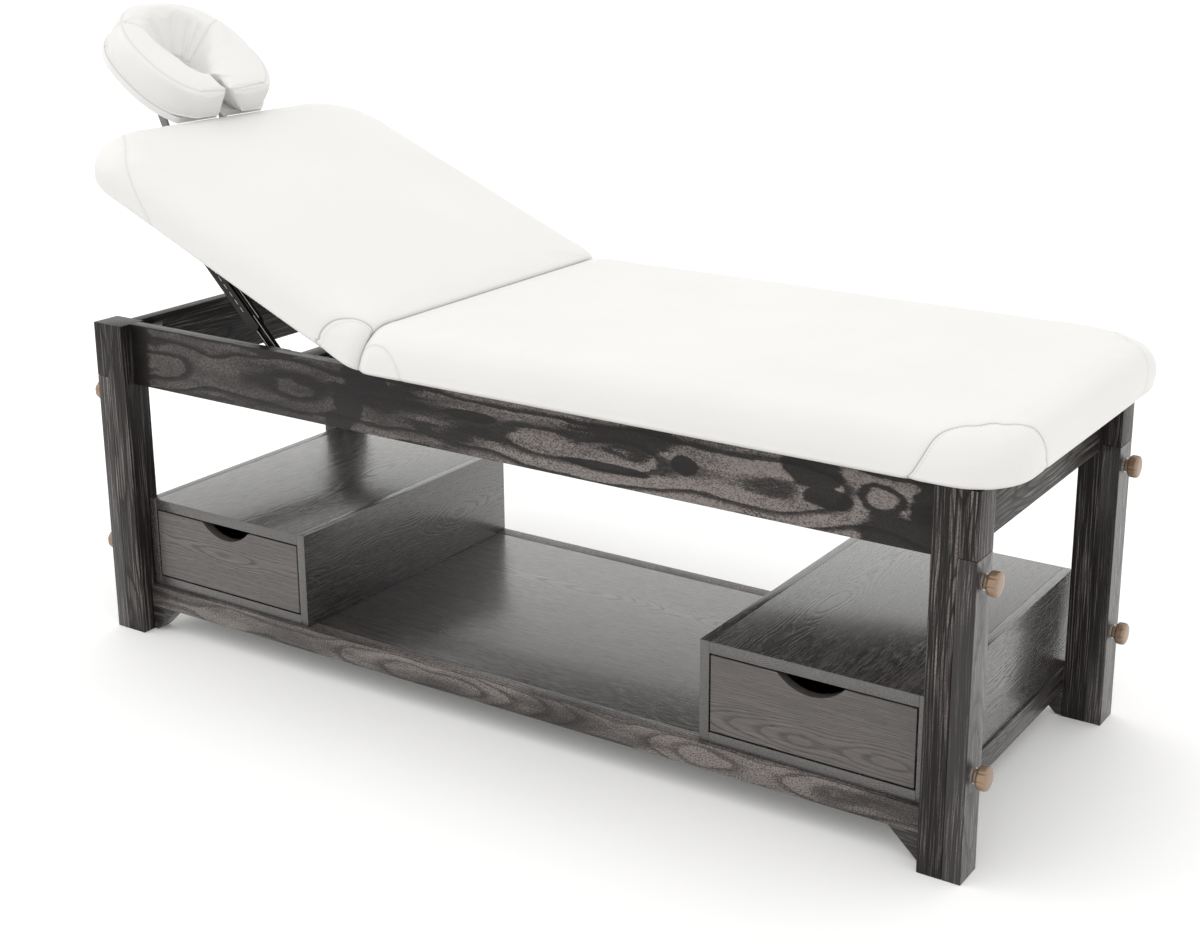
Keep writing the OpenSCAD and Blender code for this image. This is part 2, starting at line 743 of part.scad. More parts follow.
// One hinge leaf with its share of the knuckles; side -1 points to the head end
module hinge_leaf(side, rise, first) {
    for (i = [first : 2 : knuckles - 1])
        translate([0, -hinge_w / 2 + i * knuckle_w + slide_gap / 2, 0]) rotate([-90, 0, 0]) difference() {
            union() {
                cylinder(r = knuckle_r, h = knuckle_w - slide_gap, $fn = round_fn);
                translate([side > 0 ? 0 : -knuckle_r - rest_gap, -rise, 0])
                    cube([knuckle_r + rest_gap, leaf_t, knuckle_w - slide_gap]);
            }
            translate([0, 0, -cut]) cylinder(r = leaf_hole_r, h = knuckle_w + 2 * cut, $fn = round_fn);
        }
    translate([side > 0 ? knuckle_r + rest_gap : -leaf_l, -hinge_w / 2, rise - leaf_t])
        cube([leaf_l - knuckle_r - rest_gap, hinge_w, leaf_t]);
}

module hinge_leaves_frame() {
    color(steel) placed() for (y = [-hinge_y, 0, hinge_y])
        translate([hinge_x, y, hinge_z]) hinge_leaf(1, frame_h - hinge_z, 0);
}

module hinge_leaves_back() {
    color(steel) on_back() for (y = [-hinge_y, 0, hinge_y])
        translate([0, y, 0]) hinge_leaf(-1, knuckle_r, 1);
}

module hinge_pins() {
    color(steel) placed() for (y = [-hinge_y, 0, hinge_y])
        translate([hinge_x, y - hinge_w / 2, hinge_z]) rotate([-90, 0, 0])
            cylinder(r = hinge_pin_r, h = hinge_w, $fn = round_fn);
}

// The stay bracket's top flange, let into the rail; over lengthens it upwards as a cutter
module flange_shape(over, gap) {
    start = -1.2 * stay_w;
    span([start - gap, -rail_t * 0.8 - gap, frame_h - stay_plate - gap / 2],
        [start + 0.8 * stay_w + gap, gap > 0 ? cut : 0, frame_h + over]);
}

// Bracket on the side rail: two cheeks with short pin stubs, open at both ends for the stay's foot
module stay_bracket() {
    outer = -rail_in_y;
    cheek = -stay_y - stay_bar_t / 2 - stay_plate - rest_gap;
    inner = -stay_y + bracket_in;
    low = stay_low[1] - bracket_deep;
    translate([stay_low[0], 0, 0]) {
        translate([0, outer, 0]) flange_shape(0, 0);
        span([-bracket_head, outer, low], [bracket_foot, outer + stay_plate, frame_h]);
        span([-bracket_head, inner, low], [bracket_foot, inner + stay_plate, stay_low[1] + bracket_foot]);
        span([-bracket_head, outer, low - stay_plate], [bracket_foot, inner + stay_plate, low]);
        translate([0, 0, stay_low[1]]) {
            translate([0, outer + stay_plate, 0]) rotate([-90, 0, 0])
                cylinder(r = stay_pin_r, h = cheek - outer, $fn = round_fn);
            translate([0, -stay_y + stay_bar_t / 2 + rest_gap, 0]) rotate([-90, 0, 0])
                cylinder(r = stay_pin_r, h = 2 * stay_plate - rest_gap, $fn = round_fn);
            translate([0, inner + stay_plate, 0]) rotate([-90, 0, 0])
                cylinder(r = 1.6 * stay_pin_r, h = stay_plate, $fn = round_fn);
        }
    }
}

module stay_brackets() {
    color(black_steel) placed() for (sy = [0, 1]) mirror([0, sy, 0]) stay_bracket();
}

// Bracket under the back board with a through pin for the stay's upper end
module stay_mount() {
    half = stay_d / 2 + stay_plate + slide_gap;
    drop = -stay_up_v - stay_w / 2;
    translate([-stay_up_u, -stay_y, 0]) {
        span([-stay_w, -half, knuckle_r - stay_plate], [stay_w, half, knuckle_r]);
        for (side = [-1, 1])
            translate([0, side > 0 ? half : stay_plate - half, 0]) rotate([90, 0, 0])
                linear_extrude(stay_plate) hull() {
                    translate([0, -stay_up_v]) circle(r = stay_w / 2 - stay_wall, $fn = 32);
                    translate([-stay_w / 2, knuckle_r - stay_plate]) square([stay_w, stay_plate]);
                }
        translate([0, -half - stay_plate / 2, -stay_up_v]) rotate([-90, 0, 0])
            cylinder(r = stay_pin_r, h = 2 * half + stay_plate, $fn = round_fn);
    }
}

module stay_mounts() {
    color(black_steel) on_back() for (sy = [0, 1]) mirror([0, sy, 0]) stay_mount();
}

// Places a piece on the stay's line, with its upper pivot at zero and the foot along +X
module on_stay(sy) {
    placed() mirror([0, sy, 0]) translate([stay_top[0], -stay_y, stay_top[1]])
        rotate([0, stay_angle, 0]) children();
}

// The outer channel: an eye above, a groove for the inner channel, and a row of catch slots
module stay_outer(sy) {
    slot_l = stay_w * 0.4;
    pitch = stay_w * 0.62;
    start = stay_w;
    groove_z = stay_side - stay_bar_w / 2 - slide_gap;
    color(black_steel) on_stay(sy) difference() {
        union() {
            span([0, -stay_d / 2, -stay_w / 2], [stay_out_l - stay_w / 2, stay_d / 2, stay_w / 2]);
            for (x = [0, stay_out_l - stay_w / 2])
                translate([x, -stay_d / 2, 0]) rotate([-90, 0, 0])
                    cylinder(d = stay_w, h = stay_d, $fn = round_fn);
        }
        span([start, -stay_bar_t / 2 - slide_gap, groove_z],
            [stay_out_l + cut, stay_bar_t / 2 + slide_gap, stay_w / 2 - stay_wall]);
        span([start, -stay_d / 2 - cut, stay_w / 4], [stay_out_l + cut, 0, stay_w / 2 + cut]);
        translate([0, -stay_d / 2 - cut, 0]) rotate([-90, 0, 0])
            cylinder(r = stay_pin_r + pin_fit, h = stay_d + 2 * cut, $fn = round_fn);
        for (x = [start : pitch : stay_out_l - 1.4 * stay_w])
            span([x, -stay_d / 2 - cut, -stay_w / 5], [x + slot_l, stay_wall - stay_d / 2, -stay_w / 10]);
    }
}

module stay_outer_near() { stay_outer(0); }

module stay_outer_far() { stay_outer(1); }

// The inner channel: it slides in the outer one and ends in an eye at the bracket
module stay_inner(sy) {
    half = stay_bar_w / 2;
    color(black_steel) on_stay(sy) translate([stay_c, 0, stay_side]) difference() {
        union() {
            span([-stay_in_l, -stay_bar_t / 2, -half], [0, stay_bar_t / 2, half]);
            translate([0, -stay_bar_t / 2, 0]) rotate([-90, 0, 0])
                cylinder(r = half, h = stay_bar_t, $fn = round_fn);
        }
        span([-stay_in_l - cut, -stay_bar_t / 2 - cut, stay_wall - half],
            [-stay_bar_w, stay_bar_t / 2 - stay_wall, half - stay_wall]);
        translate([0, -stay_bar_t / 2 - cut, 0]) rotate([-90, 0, 0])
            cylinder(r = stay_pin_r + slide_gap, h = stay_bar_t + 2 * cut, $fn = round_fn);
    }
}

module stay_inner_near() { stay_inner(0); }

module stay_inner_far() { stay_inner(1); }

// Steel sleeves in the back board that the cradle's rods slide in
module rod_sockets() {
    color(steel) on_back() for (side = [-1, 1])
        translate([rod_in + base_margin - back_len, side * rod_pitch / 2, rod_v]) rotate([0, -90, 0])
            difference() {
                cylinder(d = rod_d + 2 * stay_wall, h = rod_in, $fn = round_fn);
                translate([0, 0, -cut])
                    cylinder(r = rod_d / 2 + pin_fit, h = rod_in + 2 * cut, $fn = round_fn);
            }
}

// The two rods, and a pivot pin in each arm so that the face opening stays clear
module cradle_rods() {
    pin_start = ear_y - arm_t / 2;
    color(steel) on_back() for (sy = [0, 1]) mirror([0, sy, 0]) {
        translate([rod_in + base_margin - back_len, -rod_pitch / 2, rod_v]) rotate([0, -90, 0])
            cylinder(d = rod_d, h = rod_in + base_margin + yoke_gap, $fn = round_fn);
        translate([-cradle_u, -pin_half, cradle_v]) rotate([-90, 0, 0])
            cylinder(r = cradle_pin_r, h = pin_half - pin_start, $fn = round_fn);
    }
}

// The yoke: a bar across the rods' ends and an arm up each side to the pivot
module cradle_yoke() {
    bar_y = rod_pitch / 2 + yoke_bar / 2;
    color(grey_metal) on_back() difference() {
        union() {
            span([-yoke_u - yoke_bar / 2, -bar_y, rod_v - yoke_bar / 2],
                [yoke_bar / 2 - yoke_u, bar_y, rod_v + yoke_bar / 2]);
            for (side = [-1, 1])
                translate([0, side * arm_y + arm_t / 2, 0]) rotate([90, 0, 0]) linear_extrude(arm_t) hull() {
                    translate([-yoke_u, rod_v]) circle(r = yoke_bar / 2, $fn = 32);
                    translate([-cradle_u, cradle_v]) circle(r = arm_r, $fn = 32);
                }
        }
        for (side = [-1, 1])
            translate([cut - yoke_u + yoke_bar / 2, side * rod_pitch / 2, rod_v]) rotate([0, -90, 0])
                cylinder(d = rod_d, h = yoke_bar / 2 + cut, $fn = round_fn);
        translate([-cradle_u, -bar_y - cut, cradle_v]) rotate([-90, 0, 0])
            cylinder(r = cradle_pin_r, h = 2 * bar_y + 2 * cut, $fn = round_fn);
    }
}

// Places a piece on the cradle's own tilt, with its pivot at zero and its foot side at +X
module on_cradle() {
    placed() translate([cradle_mid[0], 0, cradle_mid[1]]) rotate([0, cradle_rest, 0]) children();
}

// A rounded-square outline point at an angle, for half sizes a and b
squareness = 2.4;
function soft_pow(v) = sign(v) * pow(abs(v), 2 / squareness);
function rim_point(t, a, b) = [a * soft_pow(cos(t)), b * soft_pow(sin(t))];

// Inner edge: along the slit from the lobes' tips, then round the face opening
slit_turn = 34;
function inner_point(t, a, slit) = let (
        u = t > 180 ? 360 - t : t,
        flip = t > 180 ? -1 : 1,
        a0 = asin(slit / face_w),
        tip = a - pad_edge / 3,
        mouth = face_len / 2 * cos(a0),
        k = u / slit_turn,
        turn = a0 + (180 - a0) * (u - slit_turn) / (180 - slit_turn)
    ) u < slit_turn ? [tip + (mouth - tip) * k, flip * slit / 2]
        : [face_len / 2 * cos(turn), flip * face_w / 2 * sin(turn)];

// Steps round the horseshoe, from one side of the slit to the other
slit_start = 1.5;
ring_steps = 60;
function ring_angle(i) = slit_start + (360 - 2 * slit_start) * i / ring_steps;

// Cross-sections of the cushion at the tips, along the lobes and round the head end, where it is a funnel:
// share of the way from the inner to the outer edge, and height share
tip_shares = [
    [0.05, 0], [0.95, 0], [0.99, 0.08], [1, 0.35], [0.99, 0.7], [0.95, 0.88], [0.88, 0.96],
    [0.7, 1], [0.45, 1], [0.25, 0.99], [0.12, 0.95], [0.04, 0.85], [0, 0.6], [0, 0.25]
];
lobe_shares = [
    [0.05, 0], [0.95, 0], [0.99, 0.08], [1, 0.35], [0.99, 0.7], [0.965, 0.88], [0.91, 0.96],
    [0.75, 0.99], [0.5, 1], [0.27, 0.985], [0.13, 0.92], [0.04, 0.78], [0, 0.55], [0, 0.25]
];
head_shares = [
    [0.05, 0], [0.95, 0], [0.99, 0.08], [1, 0.35], [0.99, 0.7], [0.965, 0.88], [0.91, 0.96],
    [0.78, 1], [0.66, 0.995], [0.55, 0.93], [0.42, 0.78], [0.27, 0.56], [0.13, 0.34], [0.04, 0.17]
];

// Turns from the open end, in degrees, over which one cross-section becomes the next
lobe_turn = [12, 50];
head_turn = [88, 138];

// Share of the half width over which the slit's bend fades out
aside_share = 0.57;

function eased(v, low, high) = let (k = min(1, max(0, (v - low) / (high - low)))) k * k * (3 - 2 * k);

// Point j of the cross-section at a turn round the horseshoe
function cushion_point(t, j) = let (
        u = t > 180 ? 360 - t : t,
        far = t > 180 ? 0 : 1,
        lobe = eased(u, lobe_turn[0], lobe_turn[1]),
        head = eased(u, head_turn[0], head_turn[1]),
        s = tip_shares[j] * (1 - lobe) + (lobe_shares[j] * (1 - head) + head_shares[j] * head) * lobe,
        front = cradle_len / 2 - tip_short,
        rim = rim_point(t, cradle_len / 2, cradle_w / 2),
        outer = [min(rim[0], front - tip_lean * s[1]), rim[1]],
        inner = inner_point(t, front, slit_w),
        p = inner + (outer - inner) * s[0],
        bend = eased(p[0], 0, front) * max(0, 1 - abs(p[1]) / (aside_share * cradle_w / 2)),
        tip = max(0, p[0] - cradle_len / 2 + tip_cut_l) / tip_cut_l
    ) [p[0], p[1] + bend * (far * slit_under * (1 - s[1]) - slit_aside),
        cushion_v + s[1] * cradle_t + (1 - s[1]) * tip * tip_lift];

module cradle_cushion() {
    m = len(lobe_shares);
    rows = ring_steps + 1;
    points = [for (i = [0 : ring_steps]) for (j = [0 : m - 1]) cushion_point(ring_angle(i), j)];
    faces = concat(
        [for (i = [0 : ring_steps - 1]) for (j = [0 : m - 1])
            [i * m + j, i * m + (j + 1) % m, (i + 1) * m + (j + 1) % m]],
        [for (i = [0 : ring_steps - 1]) for (j = [0 : m - 1])
            [i * m + j, (i + 1) * m + (j + 1) % m, (i + 1) * m + j]],
        [for (j = [1 : m - 2]) [0, j + 1, j]],
        [for (j = [1 : m - 2]) [(rows - 1) * m, (rows - 1) * m + j, (rows - 1) * m + j + 1]]);
    color(vinyl) on_cradle() polyhedron(points = points, faces = faces);
}

// The covered board under the cushion, with an ear at each arm for the pivot pin
module cradle_platform() {
    slit = slit_w * 3;
    rim = [for (i = [0 : ring_steps]) rim_point(ring_angle(i), platform_a, cradle_w / 2 + platform_rim)];
    hole = [for (i = [ring_steps : -1 : 0]) inner_point(ring_angle(i), platform_a, slit)];
    color(vinyl) on_cradle() {
        translate([0, 0, platform_v]) linear_extrude(platform_t) difference() {
            polygon(concat(rim, hole));
            translate([cradle_len / 2 - platform_short, -cradle_w]) square([cradle_len, 2 * cradle_w]);
        }
        for (side = [-1, 1])
            translate([0, side * ear_y + arm_t / 2, 0]) rotate([90, 0, 0]) difference() {
                union() {
                    linear_extrude(arm_t) circle(r = arm_r, $fn = round_fn);
                    linear_extrude(arm_t) translate([-arm_r, 0]) square([2 * arm_r, platform_v + cut]);
                }
                translate([0, 0, -cut])
                    cylinder(r = cradle_pin_r + pin_fit, h = arm_t + 2 * cut, $fn = round_fn);
            }
    }
}

// The lock lever on the near end of the pivot pin
module cradle_lever() {
    grip_r = arm_r * 0.6;
    face = arm_y + arm_t / 2 + slide_gap;
    turn = atan2(cradle_u - yoke_u, cradle_v - rod_v);
    color(black_steel) on_back() translate([-cradle_u, -face, cradle_v]) rotate([90, turn, 0])
        difference() {
            linear_extrude(arm_t) hull() {
                circle(r = arm_r - slide_gap, $fn = 32);
                translate([0, -lever_l]) circle(r = grip_r, $fn = 32);
            }
            translate([0, 0, -cut])
                cylinder(r = cradle_pin_r + pin_fit, h = arm_t + 2 * cut, $fn = round_fn);
        }
}

side_rail_near();
side_rail_far();
end_rail_head();
end_rail_foot();
cross_rails();
hinge_rail();
corner_blocks();
leg_posts();
lower_side_rails();
lower_end_rails();
gussets();
shelf();
shelf_cleats();
cabinet_head_case();
cabinet_foot_case();
drawer_head_front();
drawer_foot_front();
drawer_head_box();
drawer_foot_box();
runners_head_fixed();
runners_foot_fixed();
runners_head_sliding();
runners_foot_sliding();
leg_board_head_near();
leg_board_head_far();
leg_board_foot_near();
leg_board_foot_far();
clamp_parts_head_near();
clamp_parts_head_far();
clamp_parts_foot_near();
clamp_parts_foot_far();
knob_head_near_top();
knob_head_near_low();
knob_head_far_top();
knob_head_far_low();
knob_foot_near_top();
knob_foot_near_low();
knob_foot_far_top();
knob_foot_far_low();
flat_board();
flat_pad();
back_board();
back_pad();
hinge_leaves_frame();
hinge_leaves_back();
hinge_pins();
stay_brackets();
stay_mounts();
stay_outer_near();
stay_outer_far();
stay_inner_near();
stay_inner_far();
rod_sockets();
cradle_rods();
cradle_yoke();
cradle_platform();
cradle_cushion();
cradle_lever();
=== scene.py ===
import json
import math

import bmesh
import bpy
import numpy as np
from mathutils import Matrix, Vector


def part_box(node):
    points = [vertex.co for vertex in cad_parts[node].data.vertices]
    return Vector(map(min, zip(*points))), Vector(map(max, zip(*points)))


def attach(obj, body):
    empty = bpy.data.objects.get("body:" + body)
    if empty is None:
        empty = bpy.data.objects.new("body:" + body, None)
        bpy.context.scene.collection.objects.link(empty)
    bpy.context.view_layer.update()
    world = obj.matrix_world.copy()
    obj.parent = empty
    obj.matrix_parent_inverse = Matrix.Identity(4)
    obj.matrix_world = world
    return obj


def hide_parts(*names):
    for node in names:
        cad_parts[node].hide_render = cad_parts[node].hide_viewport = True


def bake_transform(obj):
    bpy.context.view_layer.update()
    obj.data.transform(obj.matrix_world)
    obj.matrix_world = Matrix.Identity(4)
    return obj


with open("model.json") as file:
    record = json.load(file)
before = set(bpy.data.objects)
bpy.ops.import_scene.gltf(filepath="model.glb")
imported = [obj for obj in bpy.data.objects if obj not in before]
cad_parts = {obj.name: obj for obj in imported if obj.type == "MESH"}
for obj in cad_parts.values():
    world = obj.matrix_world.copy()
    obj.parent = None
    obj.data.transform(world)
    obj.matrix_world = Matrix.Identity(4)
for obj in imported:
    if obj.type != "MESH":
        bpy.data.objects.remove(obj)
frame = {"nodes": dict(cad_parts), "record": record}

bl_info = {
    "name": "Spa bed with cabinet base",
    "version": (1, 0, 0),
    "blender": (4, 5, 0),
    "location": "3D View > Sidebar > Spa bed",
    "description": "Dresses a wooden spa bed with its pads, woodwork, fittings and stage",
    "category": "Object",
}

BEHAVIOUR = frame["record"]["behaviour"]
BODY = {n: b for b, members in BEHAVIOUR["bodies"].items() for n in members}
ENDS, SIDES = ("head", "foot"), ("near", "far")
WOODWORK = ("side_rail_near", "side_rail_far", "end_rail_head", "end_rail_foot", "cross_rails", "hinge_rail",
            "corner_blocks", "leg_posts", "lower_side_rails", "lower_end_rails", "gussets", "shelf",
            "shelf_cleats", *(f"leg_board_{e}_{s}" for e in ENDS for s in SIDES))
BOARDS = ("flat_board", "back_board")
CABINETS = tuple(f"cabinet_{e}_case" for e in ENDS)
FRONTS = tuple(f"drawer_{e}_front" for e in ENDS)
BOXES = tuple(f"drawer_{e}_box" for e in ENDS)
KNOBS = tuple(f"knob_{e}_{s}_{h}" for e in ENDS for s in SIDES for h in ("top", "low"))
BLACK_STEEL = ("stay_brackets", "stay_mounts", *(f"stay_{p}_{s}" for p in ("outer", "inner") for s in SIDES),
               "cradle_lever")
PLATED_STARTS = ("runners", "clamp", "hinge_l", "hinge_p", "rod_", "cradle_rods")
PLATED = tuple(n for n in BODY if n.startswith(PLATED_STARTS))

# Places that the bed's own parts give: the hinge axis. The tilts of the back section and of the cradle, and
# the cradle's pivot, are given numbers
PAD_LOW, PAD_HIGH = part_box("flat_pad")
PINS_LOW, PINS_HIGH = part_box("hinge_pins")
HINGE = Vector(((PINS_LOW.x + PINS_HIGH.x) / 2, 0, (PINS_LOW.z + PINS_HIGH.z) / 2))
REST_TILT = math.radians(23.3)
CRADLE_TILT = math.radians(35.3)
ON_BACK = Matrix.Translation(HINGE) @ Matrix.Rotation(REST_TILT, 4, "Y")
CRADLE_PIVOT = ON_BACK @ Vector((-0.869, 0, 0.093))
ON_CRADLE = Matrix.Translation(CRADLE_PIVOT) @ Matrix.Rotation(CRADLE_TILT, 4, "Y")


# ---------------- sizes and colours

def length(name, description, value, low, high):
    return bpy.props.FloatProperty(name=name, description=description, default=value, min=low, max=high,
                                   subtype="DISTANCE", unit="LENGTH")


def colour(name, description, value):
    return bpy.props.FloatVectorProperty(name=name, description=description, default=value, size=4,
                                         min=0.0, max=1.0, subtype="COLOR")


class SpaBedSizes(bpy.types.PropertyGroup):
    """Sizes of the dressed parts"""
    wood_edge: length("Wood edge", "Width of the eased edges of the boards", 0.0016, 0.0002, 0.006)
    ring_gap: length("Growth ring gap", "Mean distance between two growth rings", 0.0062, 0.001, 0.03)
    pad_cell: length("Pad mesh cell", "Size of one mesh cell on the pads", 0.0065, 0.003, 0.02)
    pad_swell: length("Pad swell", "How far the stuffed covers may swell over their foam", 0.003, 0.0, 0.02)
    seam_depth: length("Seam depth", "How deep the sewn seams draw the vinyl in", 0.0016, 0.0, 0.006)
    stitch_pitch: length("Stitch pitch", "Distance from one stitch to the next", 0.0062, 0.002, 0.02)
    stitch_width: length("Thread width", "Thickness of the sewing thread", 0.0008, 0.0003, 0.003)
    glint_width: length("Painted glint width", "Width of the painted glints along the stays' edges and slots", 0.0017, 0.0003, 0.004)


class SpaBedColours(bpy.types.PropertyGroup):
    """Colours of the finishes"""
    stain_dark: colour("Stain, dark rings", "Black stain in the open pores", (0.0093, 0.0074, 0.0073, 1))
    stain_light: colour("Stain, pale rings", "Black stain on the dense rings", (0.09, 0.0788, 0.0745, 1))
    vinyl: colour("Vinyl", "White cover of the pads", (0.73, 0.722, 0.708, 1))
    # Painted shade: the dark colour that the seams, the creases beside them and the thread's twist are
    # painted towards; also the dark end of the cover's faint random cloud
    vinyl_painted_shade_and_cloud: colour("Vinyl, painted shade and cloud", "Painted shade in the cover's seams and the thread's twist, and the dark end of the cover's cloud", (0.3, 0.28, 0.26, 1))
    knob: colour("Knobs", "Bronze of the clamp knobs", (0.30, 0.2, 0.13, 1))
    black_steel: colour("Black steel", "Coating of the stays and the lever", (0.014, 0.0115, 0.011, 1))
    zinc: colour("Plated steel", "Plating of the runners, hinges and rods", (0.62, 0.61, 0.59, 1))
    grey_paint: colour("Grey paint", "Paint of the cradle's arms", (0.16, 0.16, 0.165, 1))
    floor: colour("Floor", "Pale studio floor", (0.95, 0.95, 0.945, 1))
    floor_painted_falloff: colour("Floor, painted fall-off", "Painted fall-off of light on the floor away from the lights", (0.56, 0.56, 0.56, 1))


THREAD, THREAD_WAVES = (0.62, 0.6, 0.57, 1), 900.0
# Dark bronze of the random cloud, and pale bronze of edge wear together with a painted highlight
KNOB_SHADE, KNOB_WORN_GLINT = (0.2, 0.13, 0.085, 1), (0.45, 0.34, 0.25, 1)
ZINC_DULL = (0.45, 0.45, 0.44, 1)
FLOOR_CLOUD = (0.9, 0.9, 0.89, 1)


def sizes():
    return bpy.context.scene.spa_bed_sizes


def colours():
    return bpy.context.scene.spa_bed_colours


# ---------------- node trees and finishes

class Tree:
    """A node tree with short calls to add nodes and links"""

    def __init__(self, tree):
        self.tree = tree

    def add(self, kind, inputs=None, **fields):
        node = self.tree.nodes.new(kind)
        for key, value in fields.items():
            setattr(node, key, value)
        for key, value in (inputs or {}).items():
            self.put(node.inputs[key], value)
        return node

    def put(self, socket, value):
        if isinstance(value, bpy.types.NodeSocket):
            self.tree.links.new(value, socket)
        else:
            socket.default_value = value

    def math(self, operation, a, b=0.0):
        return self.add("ShaderNodeMath", {0: a, 1: b}, operation=operation).outputs[0]

    def times(self, a, b):
        return self.math("MULTIPLY", a, b)

    def plus(self, a, b):
        return self.math("ADD", a, b)

    def minus(self, a, b):
        return self.math("SUBTRACT", a, b)

    def vector(self, operation, a, b=(0, 0, 0), out=0):
        return self.add("ShaderNodeVectorMath", {0: a, 1: b}, operation=operation).outputs[out]

    def joined(self, x, y, z):
        return self.add("ShaderNodeCombineXYZ", {0: x, 1: y, 2: z}).outputs[0]

    def range(self, value, low, high, to_low=0.0, to_high=1.0, smooth=True):
        return self.add("ShaderNodeMapRange", {
            "Value": value, "From Min": low, "From Max": high, "To Min": to_low, "To Max": to_high,
        }, interpolation_type="SMOOTHSTEP" if smooth else "LINEAR").outputs[0]


class Web(Tree):
    """A material's tree"""

    def __init__(self, name):
        self.material = bpy.data.materials.new(name)
        self.material.use_nodes = True
        super().__init__(self.material.node_tree)

    def place(self):
        return self.add("ShaderNodeTexCoord").outputs["Object"]

    def attribute(self, name, out="Fac"):
        return self.add("ShaderNodeAttribute", attribute_name=name).outputs[out]

    def noise(self, vector, scale, detail=2.0, rough=0.5):
        return self.add("ShaderNodeTexNoise", {
            "Vector": vector, "Scale": scale, "Detail": detail, "Roughness": rough}).outputs["Fac"]

    def stretched(self, vector, cells, detail=2.0, rough=0.5):
        """Noise with its own number of cells per metre each way"""
        return self.noise(self.vector("MULTIPLY", vector, cells), 1.0, detail, rough)

    def mix(self, share, a, b):
        node = self.add("ShaderNodeMix", data_type="RGBA", clamp_factor=False)
        for key, value in (("Factor", share), (6, a), (7, b)):
            self.put(node.inputs[key], value)
        return node.outputs[2]

    def bump(self, height, strength, distance, normal=None):
        node = self.add("ShaderNodeBump", {"Height": height, "Strength": strength, "Distance": distance})
        if normal is not None:
            self.put(node.inputs["Normal"], normal)
        return node.outputs[0]

    def finish(self, **sockets):
        shader = self.tree.nodes["Principled BSDF"]
        for name, value in sockets.items():
            self.put(shader.inputs[name.replace("_", " ")], value)
        return self.material


FINISHES = {}


def finish(name):
    """Makes a finish the first time that a piece asks for it"""
    if name not in FINISHES:
        FINISHES[name] = MAKERS[name](name)
    return FINISHES[name]


# Noise cells per metre along, across and into a board, for each layer of its figure
RAGGED, SPECK, PORE = (9, 34, 34), (300, 460, 460), (45, 850, 850)
BLOTCH, STREAK, PATCH = (3, 14, 14), (6, 360, 360), (4, 20, 20)
PITH_WANDER, PITH_RISE, PITH_SIDE = 1.9, 0.16, 0.06
RING_RAGGED = 0.0042
BRIGHTEST = 2.6


